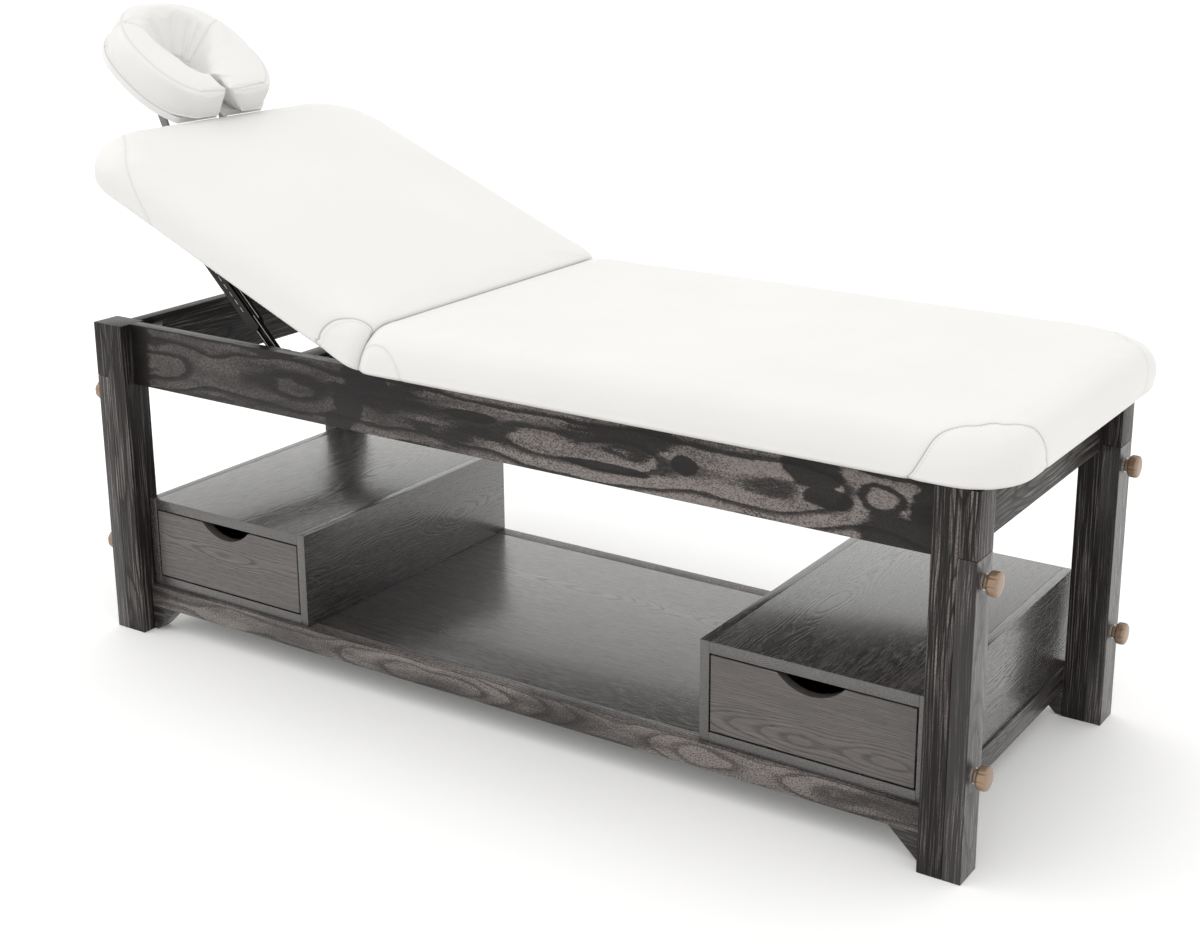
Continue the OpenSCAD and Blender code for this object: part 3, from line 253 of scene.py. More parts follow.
def wood_finish(name, blots=(), gap=1.0, contrast=1.0, lift=1.0, patchy=0.0, smooth=0.0, gloss=0.45,
                polish=0.14, figure=1.0, shine=0.3, coat_ior=1.5):
    """Black-stained open-pored ash: growth rings about a wandering pith, with pores in the early wood"""
    c, web = colours(), Web(name)
    grain = web.attribute("grain", "Vector")
    along, across, deep = web.add("ShaderNodeSeparateXYZ", {0: grain}).outputs
    wander = web.joined(web.times(along, PITH_WANDER), 0.0, 0.0)
    aside = web.noise(web.vector("ADD", wander, (7, 3, 1)), 1.3)
    rise = web.times(web.minus(web.noise(wander, 1.0, 2.0, 0.45), 0.5), PITH_RISE * figure)
    side = web.times(web.minus(aside, 0.5), PITH_SIDE * figure)
    from_pith = web.vector("LENGTH", web.joined(0.0, web.plus(across, side), web.plus(deep, rise)), out=1)
    ragged = web.stretched(grain, RAGGED, 4.0, 0.6)
    radius = web.plus(from_pith, web.times(ragged, RING_RAGGED * gap))
    ring = web.math("FRACT", web.math("DIVIDE", radius, sizes().ring_gap * gap))
    early = web.times(web.range(ring, 0.02, 0.12), web.range(ring, 0.55, 0.2))
    pore = web.range(web.stretched(grain, PORE, 2.0, 0.6), 0.52, 0.62)
    open_pore = web.times(pore, web.plus(web.times(early, 0.85), 0.15))
    speck = web.stretched(grain, SPECK, 2.0, 0.75)
    blotch = web.range(web.stretched(grain, BLOTCH, 3.0, 0.6), 0.36, 0.66, smooth)
    pale = web.minus(1.0, web.times(early, 0.85 * contrast))
    pale = web.times(pale, web.plus(web.times(blotch, 0.75), 0.25))
    # Pale patches and specks: the ash's figure together with painted sheen. The ramp along the board is a
    # painted light gradient: on the centred near side rail it goes from dark at the head end to pale at the
    # foot end; on the lower rails, shifted along, it stays near its top
    if patchy:
        field = web.plus(web.stretched(grain, PATCH, 3.0, 0.55), web.times(web.minus(speck, 0.5), 0.12))
        shares = (web.range(field, 0.40, 0.47, 1 - patchy, 1.0), web.range(along, -0.6, 0.5, 0.4, 1.5),
                  web.range(speck, 0.42, 0.6, 0.4 * lift, 1.7 * lift, smooth=False))
    else:
        rest = 1 - smooth
        streak = web.stretched(grain, STREAK, 3.0, 0.6)
        streak = web.range(streak, 0.46, 0.66, 1 - 0.88 * rest, 1 + 1.8 * rest)
        shares = (streak, web.range(speck, 0.3, 0.7, (1 - 0.4 * rest) * lift, (1 + 0.3 * rest) * lift))
    for share in shares:
        pale = web.times(pale, share)
    dark = 0.0
    for place_x, place_z, half_x, half_z, hole in blots:
        apart = web.vector("SUBTRACT", grain, (place_x, place_z, 0))
        apart = web.vector("LENGTH", web.vector("MULTIPLY", apart, (1 / half_x, 1 / half_z, 0)), out=1)
        apart = web.plus(apart, web.times(web.minus(ragged, 0.5), 1.1))
        spot = web.range(apart, 1.12, 0.92)
        if hole:
            spot = web.times(spot, web.range(apart, hole - 0.1, hole + 0.1))
        dark = web.math("MAXIMUM", dark, spot)
    if blots:
        pale = web.times(pale, web.minus(1.0, web.times(dark, 0.96)))
    tone = web.mix(web.math("MINIMUM", pale, BRIGHTEST), c.stain_dark, c.stain_light)
    tone = web.mix(web.times(open_pore, 0.65), tone, c.stain_dark)
    rough = web.plus(web.times(open_pore, 0.22), web.times(blotch, 0.08))
    height = web.plus(web.times(open_pore, -0.75), web.times(early, -0.35))
    bumps = web.bump(web.plus(height, web.times(speck, 0.12)), 0.6, 0.0005)
    return web.finish(Base_Color=tone, Roughness=web.plus(rough, 0.33), Normal=bumps, Coat_Normal=bumps,
                      Specular_IOR_Level=shine, Coat_Weight=gloss, Coat_Roughness=polish, Coat_IOR=coat_ior)


def wood(**look):
    return lambda name: wood_finish(name, **look)


def vinyl_finish(name):
    """White upholstery vinyl: fine leather grain, soft wrinkles and drawn-in seams, with painted shade in
    and along the seams
    """
    c, web = colours(), Web(name)
    place, from_seam = web.place(), web.math("ABSOLUTE", web.attribute("seam"))
    # Painted shade: a thin dark line down each seam, as strong as the seam's share of painted shade
    line = web.times(web.range(from_seam, 0.0011, 0.0003), web.attribute("seam_painted_shade"))
    # Painted shade: the cover darkens within 9 mm of each seam, as shade in the crease
    painted_valley_shade = web.range(from_seam, 0.009, 0.0)
    cells = web.add("ShaderNodeTexVoronoi", {"Vector": place, "Scale": 620.0}, feature="DISTANCE_TO_EDGE")
    soft = web.noise(place, 4.5, 3.0, 0.55)
    # The cover's faint random cloud, plus the painted shade along the seams
    shade = web.plus(web.times(web.range(soft, 0.3, 0.75), 0.035), web.times(painted_valley_shade, 0.05))
    tone = web.mix(web.times(line, 0.8), web.mix(shade, c.vinyl, c.vinyl_painted_shade_and_cloud), c.vinyl_painted_shade_and_cloud)
    fine = web.bump(web.range(cells.outputs[0], 0.0, 0.28), 0.12, 0.0003)
    drawn = web.bump(web.stretched(place, (26, 26, 60), 4.0), 0.25, 0.0016, fine)
    deep = web.bump(web.range(from_seam, 0.0, 0.003), 0.7, 0.0012, drawn)
    return web.finish(Base_Color=tone, Roughness=web.plus(web.times(soft, 0.12), 0.36), Normal=deep,
                      Sheen_Weight=0.08, Sheen_Roughness=0.45)


def thread_finish(name):
    """White sewing thread with its twist, with painted shade between the strands"""
    web = Web(name)
    twist = web.add("ShaderNodeTexWave", {
        "Vector": web.place(), "Scale": THREAD_WAVES, "Distortion": 1.5}).outputs["Fac"]
    return web.finish(Base_Color=web.mix(web.times(twist, 0.35), THREAD, colours().vinyl_painted_shade_and_cloud),
                      Roughness=0.6, Normal=web.bump(twist, 0.3, 0.0002))


def bronze_finish(name):
    """Cloudy bronze, paler on its edges, which carry wear and a painted highlight"""
    web = Web(name)
    place = web.place()
    cloud = web.noise(place, 60.0, 3.0)
    # Wear and a painted highlight: paler bronze where the surface is sharply convex
    wear_and_glint = web.range(web.add("ShaderNodeNewGeometry").outputs["Pointiness"], 0.5, 0.58)
    tone = web.mix(web.times(cloud, 0.5), colours().knob, KNOB_SHADE)
    return web.finish(Base_Color=web.mix(web.times(wear_and_glint, 0.35), tone, KNOB_WORN_GLINT), Metallic=0.4,
                      Roughness=web.plus(web.times(cloud, 0.15), 0.28), Coat_Weight=0.3, Coat_Roughness=0.15,
                      Normal=web.bump(web.noise(place, 900.0), 0.08, 0.0002))


def painted_finish(name, tone, rough, shine=0.5, coat=0.15):
    """Sprayed paint, a little cloudy, with a fine peel"""
    web = Web(name)
    place = web.place()
    cloud = web.noise(place, 25.0, 4.0, 0.6)
    light = tuple(min(1.0, v * 1.5 + 0.004) for v in tone[:3]) + (1,)
    return web.finish(Base_Color=web.mix(web.range(cloud, 0.4, 0.8, 0.0, 0.5), tone, light),
                      Roughness=web.range(cloud, 0.2, 0.8, rough - 0.05, rough + 0.08),
                      Normal=web.bump(web.noise(place, 1400.0), 0.1, 0.0002), Specular_IOR_Level=shine,
                      Coat_Weight=coat, Coat_Roughness=0.3)


def plated_finish(name):
    """Plated steel with fine drawn lines"""
    web = Web(name)
    place = web.place()
    cloud = web.noise(place, 40.0, 4.0, 0.6)
    return web.finish(Base_Color=web.mix(web.range(cloud, 0.3, 0.8, 0.0, 0.4), colours().zinc, ZINC_DULL),
                      Metallic=1.0, Roughness=web.range(cloud, 0.2, 0.8, 0.24, 0.42),
                      Normal=web.bump(web.stretched(place, (30, 30, 900)), 0.08, 0.0002))


# Where the floor's painted fall-off of light starts in front of the bed, and its two ways from there
DIM_START, DIM_WAYS = (-0.12, -1.23, 0), ((0.532, -0.846, 0), (-0.625, -0.78, 0))


def floor_finish(name):
    """Pale seamless floor with a painted fall-off of light in front of the bed that recovers far away, and a
    faint painted glow
    """
    c, web = colours(), Web(name)
    place = web.place()
    pale = web.mix(web.times(web.noise(place, 0.8, 3.0), 0.06), c.floor, FLOOR_CLOUD)
    start = web.vector("SUBTRACT", place, DIM_START)
    away = web.math("MAXIMUM", *(web.vector("DOT_PRODUCT", start, way, out=1) for way in DIM_WAYS))
    # Painted fall-off of light: the floor darkens away from the bed on its front side out to 2.4 m, and
    # recovers from 5 to 9 m
    dim = web.times(web.range(away, 0.1, 2.4), web.range(away, 5.0, 9.0, 1.0, 0.3))
    # Painted glow: the floor emits a little light though it is no lamp
    return web.finish(Base_Color=web.mix(dim, pale, c.floor_painted_falloff), Roughness=0.7, Specular_IOR_Level=0.1,
                      Emission_Color=(1, 1, 1, 1), Emission_Strength=0.07)


# Dark figure of the near side rail: place along and across it, half sizes, and the share left open inside
RAIL_BLOTS = (
    (0.4095, 0.0027, 0.027, 0.016, 0), (0.7605, 0.0082, 0.043, 0.027, 0.6), (0.64, 0.036, 0.056, 0.027, 0),
    (0.675, -0.006, 0.045, 0.016, 0), (0.8, -0.052, 0.085, 0.038, 0), (0.86, 0.0, 0.05, 0.09, 0),
    (-0.262, 0.04, 0.05, 0.034, 0), (-0.3, -0.01, 0.036, 0.036, 0), (-0.325, -0.05, 0.03, 0.026, 0),
    (-0.86, 0.0, 0.06, 0.09, 0), (-0.02, 0.012, 0.05, 0.009, 0), (0.25, -0.03, 0.09, 0.008, 0))
MAKERS = {
    "stained ash": wood(gap=0.7, lift=0.85, figure=0.45),
    # Painted shade: a copy of stained ash with less gloss and shine, standing in for the shade under the
    # pads' overhang on the corner blocks, posts and end rails
    "stained ash blocks": wood(gap=0.7, lift=0.85, figure=0.4, gloss=0.08, shine=0.15),
    # The near side rail: its pale patches, specks and lift are its figure together with painted sheen, with
    # a painted light gradient along it
    "stained ash rail": wood(blots=RAIL_BLOTS, gap=3.2, contrast=1.05, lift=1.95, patchy=0.93, gloss=0.1,
                             shine=0.2),
    # The lower rails: their patches and lift are their figure together with a little painted sheen
    "stained ash lower": wood(gap=1.1, contrast=0.6, lift=1.55, patchy=0.3, gloss=0.25, shine=0.2,
                              figure=0.6),
    "stained ash case": wood(gap=0.5, lift=0.6, smooth=0.6, gloss=1.0, polish=0.17, figure=0.5, shine=0.1,
                             coat_ior=1.95),
    "stained ash fronts": wood(gap=0.38, contrast=0.45, lift=1.22, smooth=0.85, gloss=0.6, figure=0.4),
    "stained ash inside": wood(contrast=0.5),
    "white vinyl": vinyl_finish,
    "white thread": thread_finish,
    "bronze": bronze_finish,
    "black steel coat": lambda n: painted_finish(n, colours().black_steel, 0.34, shine=0.25, coat=0.0),
    "grey arm paint": lambda n: painted_finish(n, colours().grey_paint, 0.45),
    "plated steel": plated_finish,
    "studio floor": floor_finish,
}
WOOD_FINISH = {"side_rail_near": "stained ash rail", "lower_side_rails": "stained ash lower",
               "shelf": "stained ash case", "corner_blocks": "stained ash blocks",
               "leg_posts": "stained ash blocks", "end_rail_head": "stained ash blocks",
               "end_rail_foot": "stained ash blocks"}


# ---------------- mesh tools

def placed(name, data):
    """A new object in the scene"""
    obj = bpy.data.objects.new(name, data)
    bpy.context.scene.collection.objects.link(obj)
    return obj


def new_piece(name, mesh, body, material, stands_for=None):
    """Puts a finished mesh into the scene, on its body, with its finish"""
    piece = placed(name, mesh)
    mesh.materials.clear()
    mesh.materials.append(finish(material))
    if body is not None:
        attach(piece, body)
    if stands_for:
        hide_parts(stands_for)
    return piece


def shaded(mesh, sharp):
    """Smooth shading, but for edges that turn by more than an angle in degrees"""
    mesh.shade_smooth()
    mesh.set_sharp_from_angle(angle=math.radians(sharp))
    return mesh


def made_mesh(bm, name, sharp):
    mesh = bpy.data.meshes.new(name)
    bm.to_mesh(mesh)
    bm.free()
    return shaded(mesh, sharp)


def welded(node):
    """A copy of a bed part's mesh with its loose triangles joined into whole faces"""
    bm = bmesh.new()
    bm.from_mesh(frame["nodes"][node].data)
    bmesh.ops.remove_doubles(bm, verts=bm.verts, dist=0.000004)
    bmesh.ops.dissolve_limit(bm, angle_limit=math.radians(1.0), verts=bm.verts, edges=bm.edges)
    return bm


def turned_edges(bm, angle, shortest=0.0):
    return [e for e in bm.edges
            if e.is_manifold and e.calc_length() > shortest and e.calc_face_angle(0) > math.radians(angle)]


def islands(bm):
    """Lists of the vertices of each separate solid"""
    left, groups = set(bm.verts), []
    while left:
        group = [left.pop()]
        for v in group:
            joined = left & {w for edge in v.link_edges for w in edge.verts}
            left -= joined
            group.extend(joined)
        groups.append(group)
    return sorted(groups, key=lambda g: tuple(round(c, 4) for c in min(tuple(v.co) for v in g)))


CENTRED_DEEP = 0.05


def grain_directions(group, seed, centred):
    """Along, across and depth of a board, each with its own shift so that no two boards match"""
    points = np.array([v.co for v in group])
    low, high = points.min(0), points.max(0)
    order, pick = np.argsort(-(high - low)), np.random.RandomState(seed)
    shift = (0.0, 0.0, CENTRED_DEEP) if centred else (
        pick.uniform(1, 9), pick.uniform(-0.3, 0.3) * (high - low)[order[1]],
        pick.choice([-1, 1]) * pick.uniform(0.03, 0.085))
    return order, (low + high) / 2, shift


SHORTEST_EASED = 0.011


def eased_boards(node, material, seed, edge=None, centred=False):
    """Boards with eased edges, each with grain along its length"""
    bm = welded(node)
    grain = bm.verts.layers.float_vector.new("grain")
    bmesh.ops.bevel(bm, geom=turned_edges(bm, 30, SHORTEST_EASED), offset=edge or sizes().wood_edge,
                    segments=2, profile=0.6, affect="EDGES", clamp_overlap=True)
    for i, group in enumerate(islands(bm)):
        order, middle, shift = grain_directions(group, seed * 31 + i, centred)
        for v in group:
            v[grain] = [v.co[order[k]] - middle[order[k]] + shift[k] for k in range(3)]
    mesh = made_mesh(bm, node + "_eased", 28)
    return new_piece(mesh.name, mesh, BODY[node], material, node)


def smooth_line(points, count):
    """A curve through the points, as even steps of their number"""
    p = np.array(points, float)
    t = np.linspace(0, len(p) - 1, count)
    i = np.clip(t.astype(int), 0, len(p) - 2)
    f = (t - i)[:, None]
    a, b, c, d = p[np.maximum(i - 1, 0)], p[i], p[i + 1], p[np.minimum(i + 2, len(p) - 1)]
    return 0.5 * (2 * b + (c - a) * f + (2 * a - 5 * b + 4 * c - d) * f ** 2
                  + (3 * b - a - 3 * c + d) * f ** 3)


def eased_step(x, low, high):
    t = np.clip((np.asarray(x, float) - low) / (high - low), 0, 1)
    return t * t * (3 - 2 * t)


def shell(rings):
    """A closed mesh from rings with the same number of points, with a cap on each end"""
    n, last = len(rings[0]), (len(rings) - 1) * len(rings[0])
    points = np.vstack([*rings, rings[0].mean(0), rings[-1].mean(0)])
    pairs = [(j, (j + 1) % n) for j in range(n)]
    faces = [(i + j, i + k, i + n + k, i + n + j) for i in range(0, last, n) for j, k in pairs]
    faces += [(k, j, last + n) for j, k in pairs]
    faces += [(last + j, last + k, last + n + 1) for j, k in pairs]
    mesh = bpy.data.meshes.new("shell")
    mesh.from_pydata(points.tolist(), [], faces)
    bm = bmesh.new()
    bm.from_mesh(mesh)
    bmesh.ops.recalc_face_normals(bm, faces=bm.faces)
    bm.to_mesh(mesh)
    bm.free()
    return mesh


def vectors(items, field):
    values = np.zeros(len(items) * 3)
    items.foreach_get(field, values)
    return values.reshape(-1, 3)


def coordinates(mesh):
    return vectors(mesh.vertices, "co")


def set_coordinates(mesh, co):
    mesh.vertices.foreach_set("co", np.asarray(co, np.float32).ravel())
    mesh.update()


def normals_of(mesh):
    return vectors(mesh.vertex_normals, "vector")


def baked(obj):
    """The object's mesh with its modifiers applied; the object goes"""
    bpy.context.view_layer.update()
    mesh = bpy.data.meshes.new_from_object(obj.evaluated_get(bpy.context.evaluated_depsgraph_get()))
    bpy.context.scene.frame_set(1)
    bpy.data.objects.remove(obj)
    return mesh


def remeshed(mesh, cell, smooth_steps):
    """An even skin over a rough form, smoothed until the form's facets are gone"""
    obj = placed("rough", mesh)
    skin = obj.modifiers.new("skin", "REMESH")
    skin.mode = "VOXEL"
    skin.voxel_size = cell
    obj.modifiers.new("easy", "SMOOTH").iterations = smooth_steps
    return baked(obj)


CLOTH_FRAMES = 20
CLOTH = {"quality": 4, "mass": 0.35, "tension_stiffness": 25, "compression_stiffness": 25,
         "shear_stiffness": 8, "bending_stiffness": 2.0, "use_pressure": True,
         "uniform_pressure_force": 4.0, "vertex_group_mass": "held"}


def plumped(mesh, cap, held):
    """Swells a cover with air pressure; held is each vertex's share, from 0 to 1, that stays in place"""
    if cap <= 0:
        return mesh
    rest, obj, scene = coordinates(mesh), placed("swelling", mesh), bpy.context.scene
    group, shares = obj.vertex_groups.new(name="held"), np.round(held, 2)
    for share in np.unique(shares[shares > 0]):
        group.add(np.nonzero(shares == share)[0].tolist(), float(share), "ADD")
    cloth = obj.modifiers.new("cover", "CLOTH")
    for key, value in CLOTH.items():
        setattr(cloth.settings, key, value)
    cloth.settings.effector_weights.gravity = 0
    cloth.collision_settings.use_collision = False
    for span in (scene, cloth.point_cache):
        span.frame_start, span.frame_end = 1, CLOTH_FRAMES
    for step in range(1, CLOTH_FRAMES + 1):
        scene.frame_set(step)
    made = baked(obj)
    moved = coordinates(made) - rest
    moved *= np.minimum(1.0, cap / np.maximum(np.linalg.norm(moved, axis=1, keepdims=True), 1e-9))
    set_coordinates(made, rest + moved * (1 - held[:, None]))
    return made


def marked(mesh, distance, seam_shade):
    """Keeps each vertex's distance to the nearest seam, and that seam's share of painted shade, for the
    finish
    """
    for name, values in (("seam", distance), ("seam_painted_shade", seam_shade)):
        layer = mesh.attributes.new(name, "FLOAT", "POINT")
        layer.data.foreach_set("value", np.broadcast_to(values, len(mesh.vertices)).astype(np.float32))


SEAM_WIDTH = 0.005


def sewn(mesh, seams, depth):
    """Draws the skin in along its seams, each given as a signed distance and a share of painted shade, which
    also sets how deep it is drawn in, and marks them
    """
    co, no = coordinates(mesh), normals_of(mesh)
    every, seam_shades = np.array([d(co) for d, _ in seams]), np.array([i for _, i in seams])
    pick = np.abs(every).argmin(0)
    near, seam_shade = np.take_along_axis(every, pick[None], 0)[0], seam_shades[pick]
    set_coordinates(mesh, co - no * (depth * (0.3 + 0.7 * seam_shade) * np.exp(-(near / SEAM_WIDTH) ** 2))[:, None])
    marked(mesh, near, seam_shade)
    return near, seam_shade


SHORTEST_ROW = 6


def seam_paths(mesh, values, level):
    """Rows of points where a value on the mesh crosses a level"""
    ends, places, co, v = {}, {}, coordinates(mesh), values - level
    above = (v > 0).tolist()
    for poly in mesh.polygons:
        ring, hits = list(poly.vertices), []
        for a, b in zip(ring, ring[1:] + ring[:1]):
            if above[a] != above[b]:
                key = (min(a, b), max(a, b))
                t = v[key[0]] / (v[key[0]] - v[key[1]])
                places[key] = co[key[0]] * (1 - t) + co[key[1]] * t
                hits.append(key)
        for a, b in zip(hits[::2], hits[1::2]):
            ends.setdefault(a, []).append(b)
            ends.setdefault(b, []).append(a)
    rows, left = [], set(ends)
    while left:
        at = next((k for k in left if len(ends[k]) == 1), None) or next(iter(left))
        row = []
        while at is not None:
            left.discard(at)
            row.append(places[at])
            at = next((k for k in ends[at] if k in left), None)
        if len(row) > SHORTEST_ROW:
            rows.append(np.array(row))
    return rows


def row_tree(name, size_names):
    """A new Geometry Nodes tree with its inputs: the rows, some sizes and a material"""
    tree = bpy.data.node_groups.new(name, "GeometryNodeTree")
    kinds = {"Rows": "Geometry", **dict.fromkeys(size_names, "Float"), "Finish": "Material"}
    new = tree.interface.new_socket
    named = {label: new(label, in_out="INPUT", socket_type="NodeSocket" + kind).identifier
             for label, kind in kinds.items()}
    new("Shape", in_out="OUTPUT", socket_type="NodeSocketGeometry")
    web = Tree(tree)
    return web, web.add("NodeGroupInput").outputs, named


def close_tree(web, shape, given):
    """Ends a tree with whole geometry in the given finish"""
    real = web.add("GeometryNodeRealizeInstances", {0: shape}).outputs[0]
    paint = web.add("GeometryNodeSetMaterial", {"Geometry": real, "Material": given["Finish"]})
    web.add("NodeGroupOutput", {0: paint.outputs[0]})


def stitch_tree():
    """Geometry Nodes: even stitches laid along sewing lines"""
    web, given, named = row_tree("stitch_rows", ("Stitch pitch", "Thread width"))
    even = web.add("GeometryNodeResampleCurve", {"Curve": given["Rows"], "Length": given["Stitch pitch"]},
                   mode="LENGTH")
    ball = web.add("GeometryNodeMeshUVSphere", {"Segments": 6, "Rings": 4, "Radius": 1.0})
    tangent = web.add("GeometryNodeInputTangent").outputs[0]
    turn = web.add("FunctionNodeAlignRotationToVector", {"Vector": tangent}, axis="X")
    half = web.times(given["Thread width"], 0.5)
    stitches_on = web.add("GeometryNodeInstanceOnPoints", {
        "Points": even.outputs[0], "Instance": ball.outputs["Mesh"], "Rotation": turn.outputs[0],
        "Scale": web.joined(web.times(given["Stitch pitch"], 0.36), half, half)})
    close_tree(web, stitches_on.outputs[0], given)
    return web.tree, named


def glint_tree():
    """Geometry Nodes: a rounded strip along each row"""
    web, given, named = row_tree("glint_strips", ("Glint width",))
    section = web.add("GeometryNodeCurvePrimitiveCircle", {
        "Resolution": 10, "Radius": web.times(given["Glint width"], 0.5)})
    sweep = web.add("GeometryNodeCurveToMesh", {
        "Curve": given["Rows"], "Profile Curve": section.outputs[0], "Fill Caps": True})
    close_tree(web, sweep.outputs[0], given)
    return web.tree, named


def laid_along(name, rows, body, node_tree, widths, material):
    """A piece that Geometry Nodes lay along rows of points"""
    curve = bpy.data.curves.new("rows", "CURVE")
    curve.dimensions = "3D"
    for row in rows:
        line = curve.splines.new("POLY")
        line.points.add(len(row) - 1)
        line.points.foreach_set("co", np.hstack([row, np.ones((len(row), 1))]).ravel())
    obj = placed("rows", curve)
    laid, (tree, named) = obj.modifiers.new(name, "NODES"), node_tree()
    laid.node_group = tree
    for label, value in {**widths, "Finish": finish(material)}.items():
        laid[named[label]] = value
    return new_piece(name, baked(obj), body, material)


def stitches(name, rows, body):
    """A piece of stitches along rows of points"""
    widths = {"Stitch pitch": sizes().stitch_pitch, "Thread width": sizes().stitch_width}
    laid_along(name, rows, body, stitch_tree, widths, "white thread")


def painted_glints(name, rows, node):
    """Painted glints along a steel part: thin bright strips where its edges catch the light"""
    widths = {"Glint width": sizes().glint_width}
    shaded(laid_along(name, rows, BODY[node], glint_tree, widths, "plated steel").data, 50)


# A knob's half section in millimetres: radius, and distance in from its outer face
KNOB = [(0, 0), (6, 0.1), (11, 0.4), (15, 1.0), (17.6, 1.9), (19.1, 3.2), (19.8, 5), (20, 7.4), (20, 10.2),
        (19.9, 13.2), (19.4, 15.6), (18.2, 17.4), (16.2, 18.6), (13, 19), (11.1, 19.2), (11, 20),
        (11, 24.9), (4, 25)]
KNOB_SIDES, STUD_RADIUS, NOTCH_TURN = 128, 4, 45


def knob_mesh(node):
    """A domed knob with narrow grooves round its rim, on its stud"""
    low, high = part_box(node)
    side, face = (1, high.x) if high.x > 0 else (-1, low.x)
    turn = np.linspace(0, 2 * math.pi, KNOB_SIDES + 1)[:-1]
    from_notch = np.abs((np.degrees(turn) + NOTCH_TURN / 2) % NOTCH_TURN - NOTCH_TURN / 2)
    notch = 0.085 * np.exp(-(from_notch / 4.2) ** 2) + 0.012 * from_notch / 22.5 - 0.012
    rings = []
    for radius, deep in smooth_line(KNOB, 70)[1:].tolist() + [(STUD_RADIUS, (high.x - low.x) * 1000)]:
        reach = 0.001 * radius * (1 - notch * np.clip((radius - 12) / 6, 0, 1))
        rings.append(np.column_stack([np.full(KNOB_SIDES, face - side * deep / 1000),
                                      (low.y + high.y) / 2 + reach * np.cos(turn),
                                      (low.z + high.z) / 2 + reach * np.sin(turn)]))
    return shaded(shell(rings), 50)


# ---------------- pads

# A pad's side from its board up: shares of the edge's rounding, of the height and of the corners' radius
SIDE = [(0.45, 0, 0.83), (0.22, 0.06, 0.92), (0.06, 0.2, 0.98), (0, 0.38, 1), (0.03, 0.57, 1.02),
        (0.17, 0.77, 1.08), (0.47, 0.93, 1.14), (1, 1, 1.2)]
HINGE_CORNER, OUTER_CORNER, EDGE_ROUND, CROWN = 0.034, 0.106, 0.044, 0.006
CROWN_RINGS = (0.975, 0.95, 0.92, 0.88, 0.83, 0.77, 0.7, 0.6, 0.5, 0.38, 0.25, 0.12)
POCKET_MARGIN, POCKET_DEEP = 0.036, 0.0225
CORNER_POINTS, SIDE_POINTS = 13, 60


def outline(x0, x1, half, r0, r1):
    """Points round a rectangle with its own corner radius at each end"""
    points = []
    for x, s, r, a in ((x1, 1, r1, 0), (x0, 1, r0, 90), (x0, -1, r0, 180), (x1, -1, r1, 270)):
        side = -1 if x == x1 else 1
        for i in range(CORNER_POINTS):
            t = math.radians(a + 90 * i / (CORNER_POINTS - 1))
            points.append((x + r * (side + math.cos(t)), s * (half - r) + r * math.sin(t)))
    out = []
    for k, (a, b) in enumerate(zip(points, points[1:] + points[:1])):
        n = SIDE_POINTS if (k + 1) % CORNER_POINTS == 0 else 1
        out += [(a[0] + (b[0] - a[0]) * i / n, a[1] + (b[1] - a[1]) * i / n) for i in range(n)]
    return out


def pad_mesh(x0, x1, half, thick, lean, rise, pocket_start):
    """A pad over its board: pocket below, full sides, crowned top. Lean tips the hinge end."""
    rings = [np.array([(x, y, height * thick) for x, y in outline(
        x0 + lean * height * thick, x1 - inset * EDGE_ROUND, half - inset * EDGE_ROUND,
        radius * HINGE_CORNER, radius * OUTER_CORNER)]) for inset, height, radius in smooth_line(SIDE, 30)]
    top = rings[-1]
    middle = np.array([(top[:, 0].min() + top[:, 0].max()) / 2, 0, 0])
    for s in CROWN_RINGS:
        r = (top - middle) * [s, s, 1] + middle
        r[:, 2] += CROWN * (1 - s * s)
        rings.append(r)
    for r in rings:
        r[:, 2] *= 1 + rise / thick * (x1 - r[:, 0]) / (x1 - x0)
    inner = np.array([(x, y, 0.0) for x, y in outline(
        pocket_start, x1 - POCKET_MARGIN, half - POCKET_MARGIN, HINGE_CORNER - POCKET_MARGIN * 0.9,
        OUTER_CORNER - POCKET_MARGIN)])
    return shell([inner + [0, 0, POCKET_DEEP], inner] + rings)


def patch(centre, radii):
    """Signed distance, near enough, to an egg-shaped patch"""
    centre, radii = np.array(centre), np.array(radii)

    def distance(co):
        q = (co - centre) / radii
        size = np.linalg.norm(q, axis=1)
        slope = np.linalg.norm(q / radii, axis=1) / np.maximum(size, 1e-6)
        return (size - 1) / np.maximum(slope, 1e-6)
    return distance


def corner(end_x, inward, side, long_side, short_side, height):
    """Signed distance to the seam across a corner; each side gives its reach above and its gain below"""
    def distance(co):
        q = np.maximum((co[:, 0] - end_x) * inward, 0)
        p = np.maximum(PAD_HIGH.y - side * co[:, 1], 0)
        drop = np.clip(1 - co[:, 2] / height, 0, 1)
        reach_q, reach_p = (above + more * drop ** power for above, more, power in (long_side, short_side))
        belly = 1 + 0.3 * np.minimum(q / reach_q, 1) * np.minimum(p / reach_p, 1)
        return (q / reach_q + p / reach_p - belly) / np.hypot(1 / reach_q, 1 / reach_p)
    return distance


STITCH_OFFSET, STITCHED_SHADE = -0.0035, 0.5


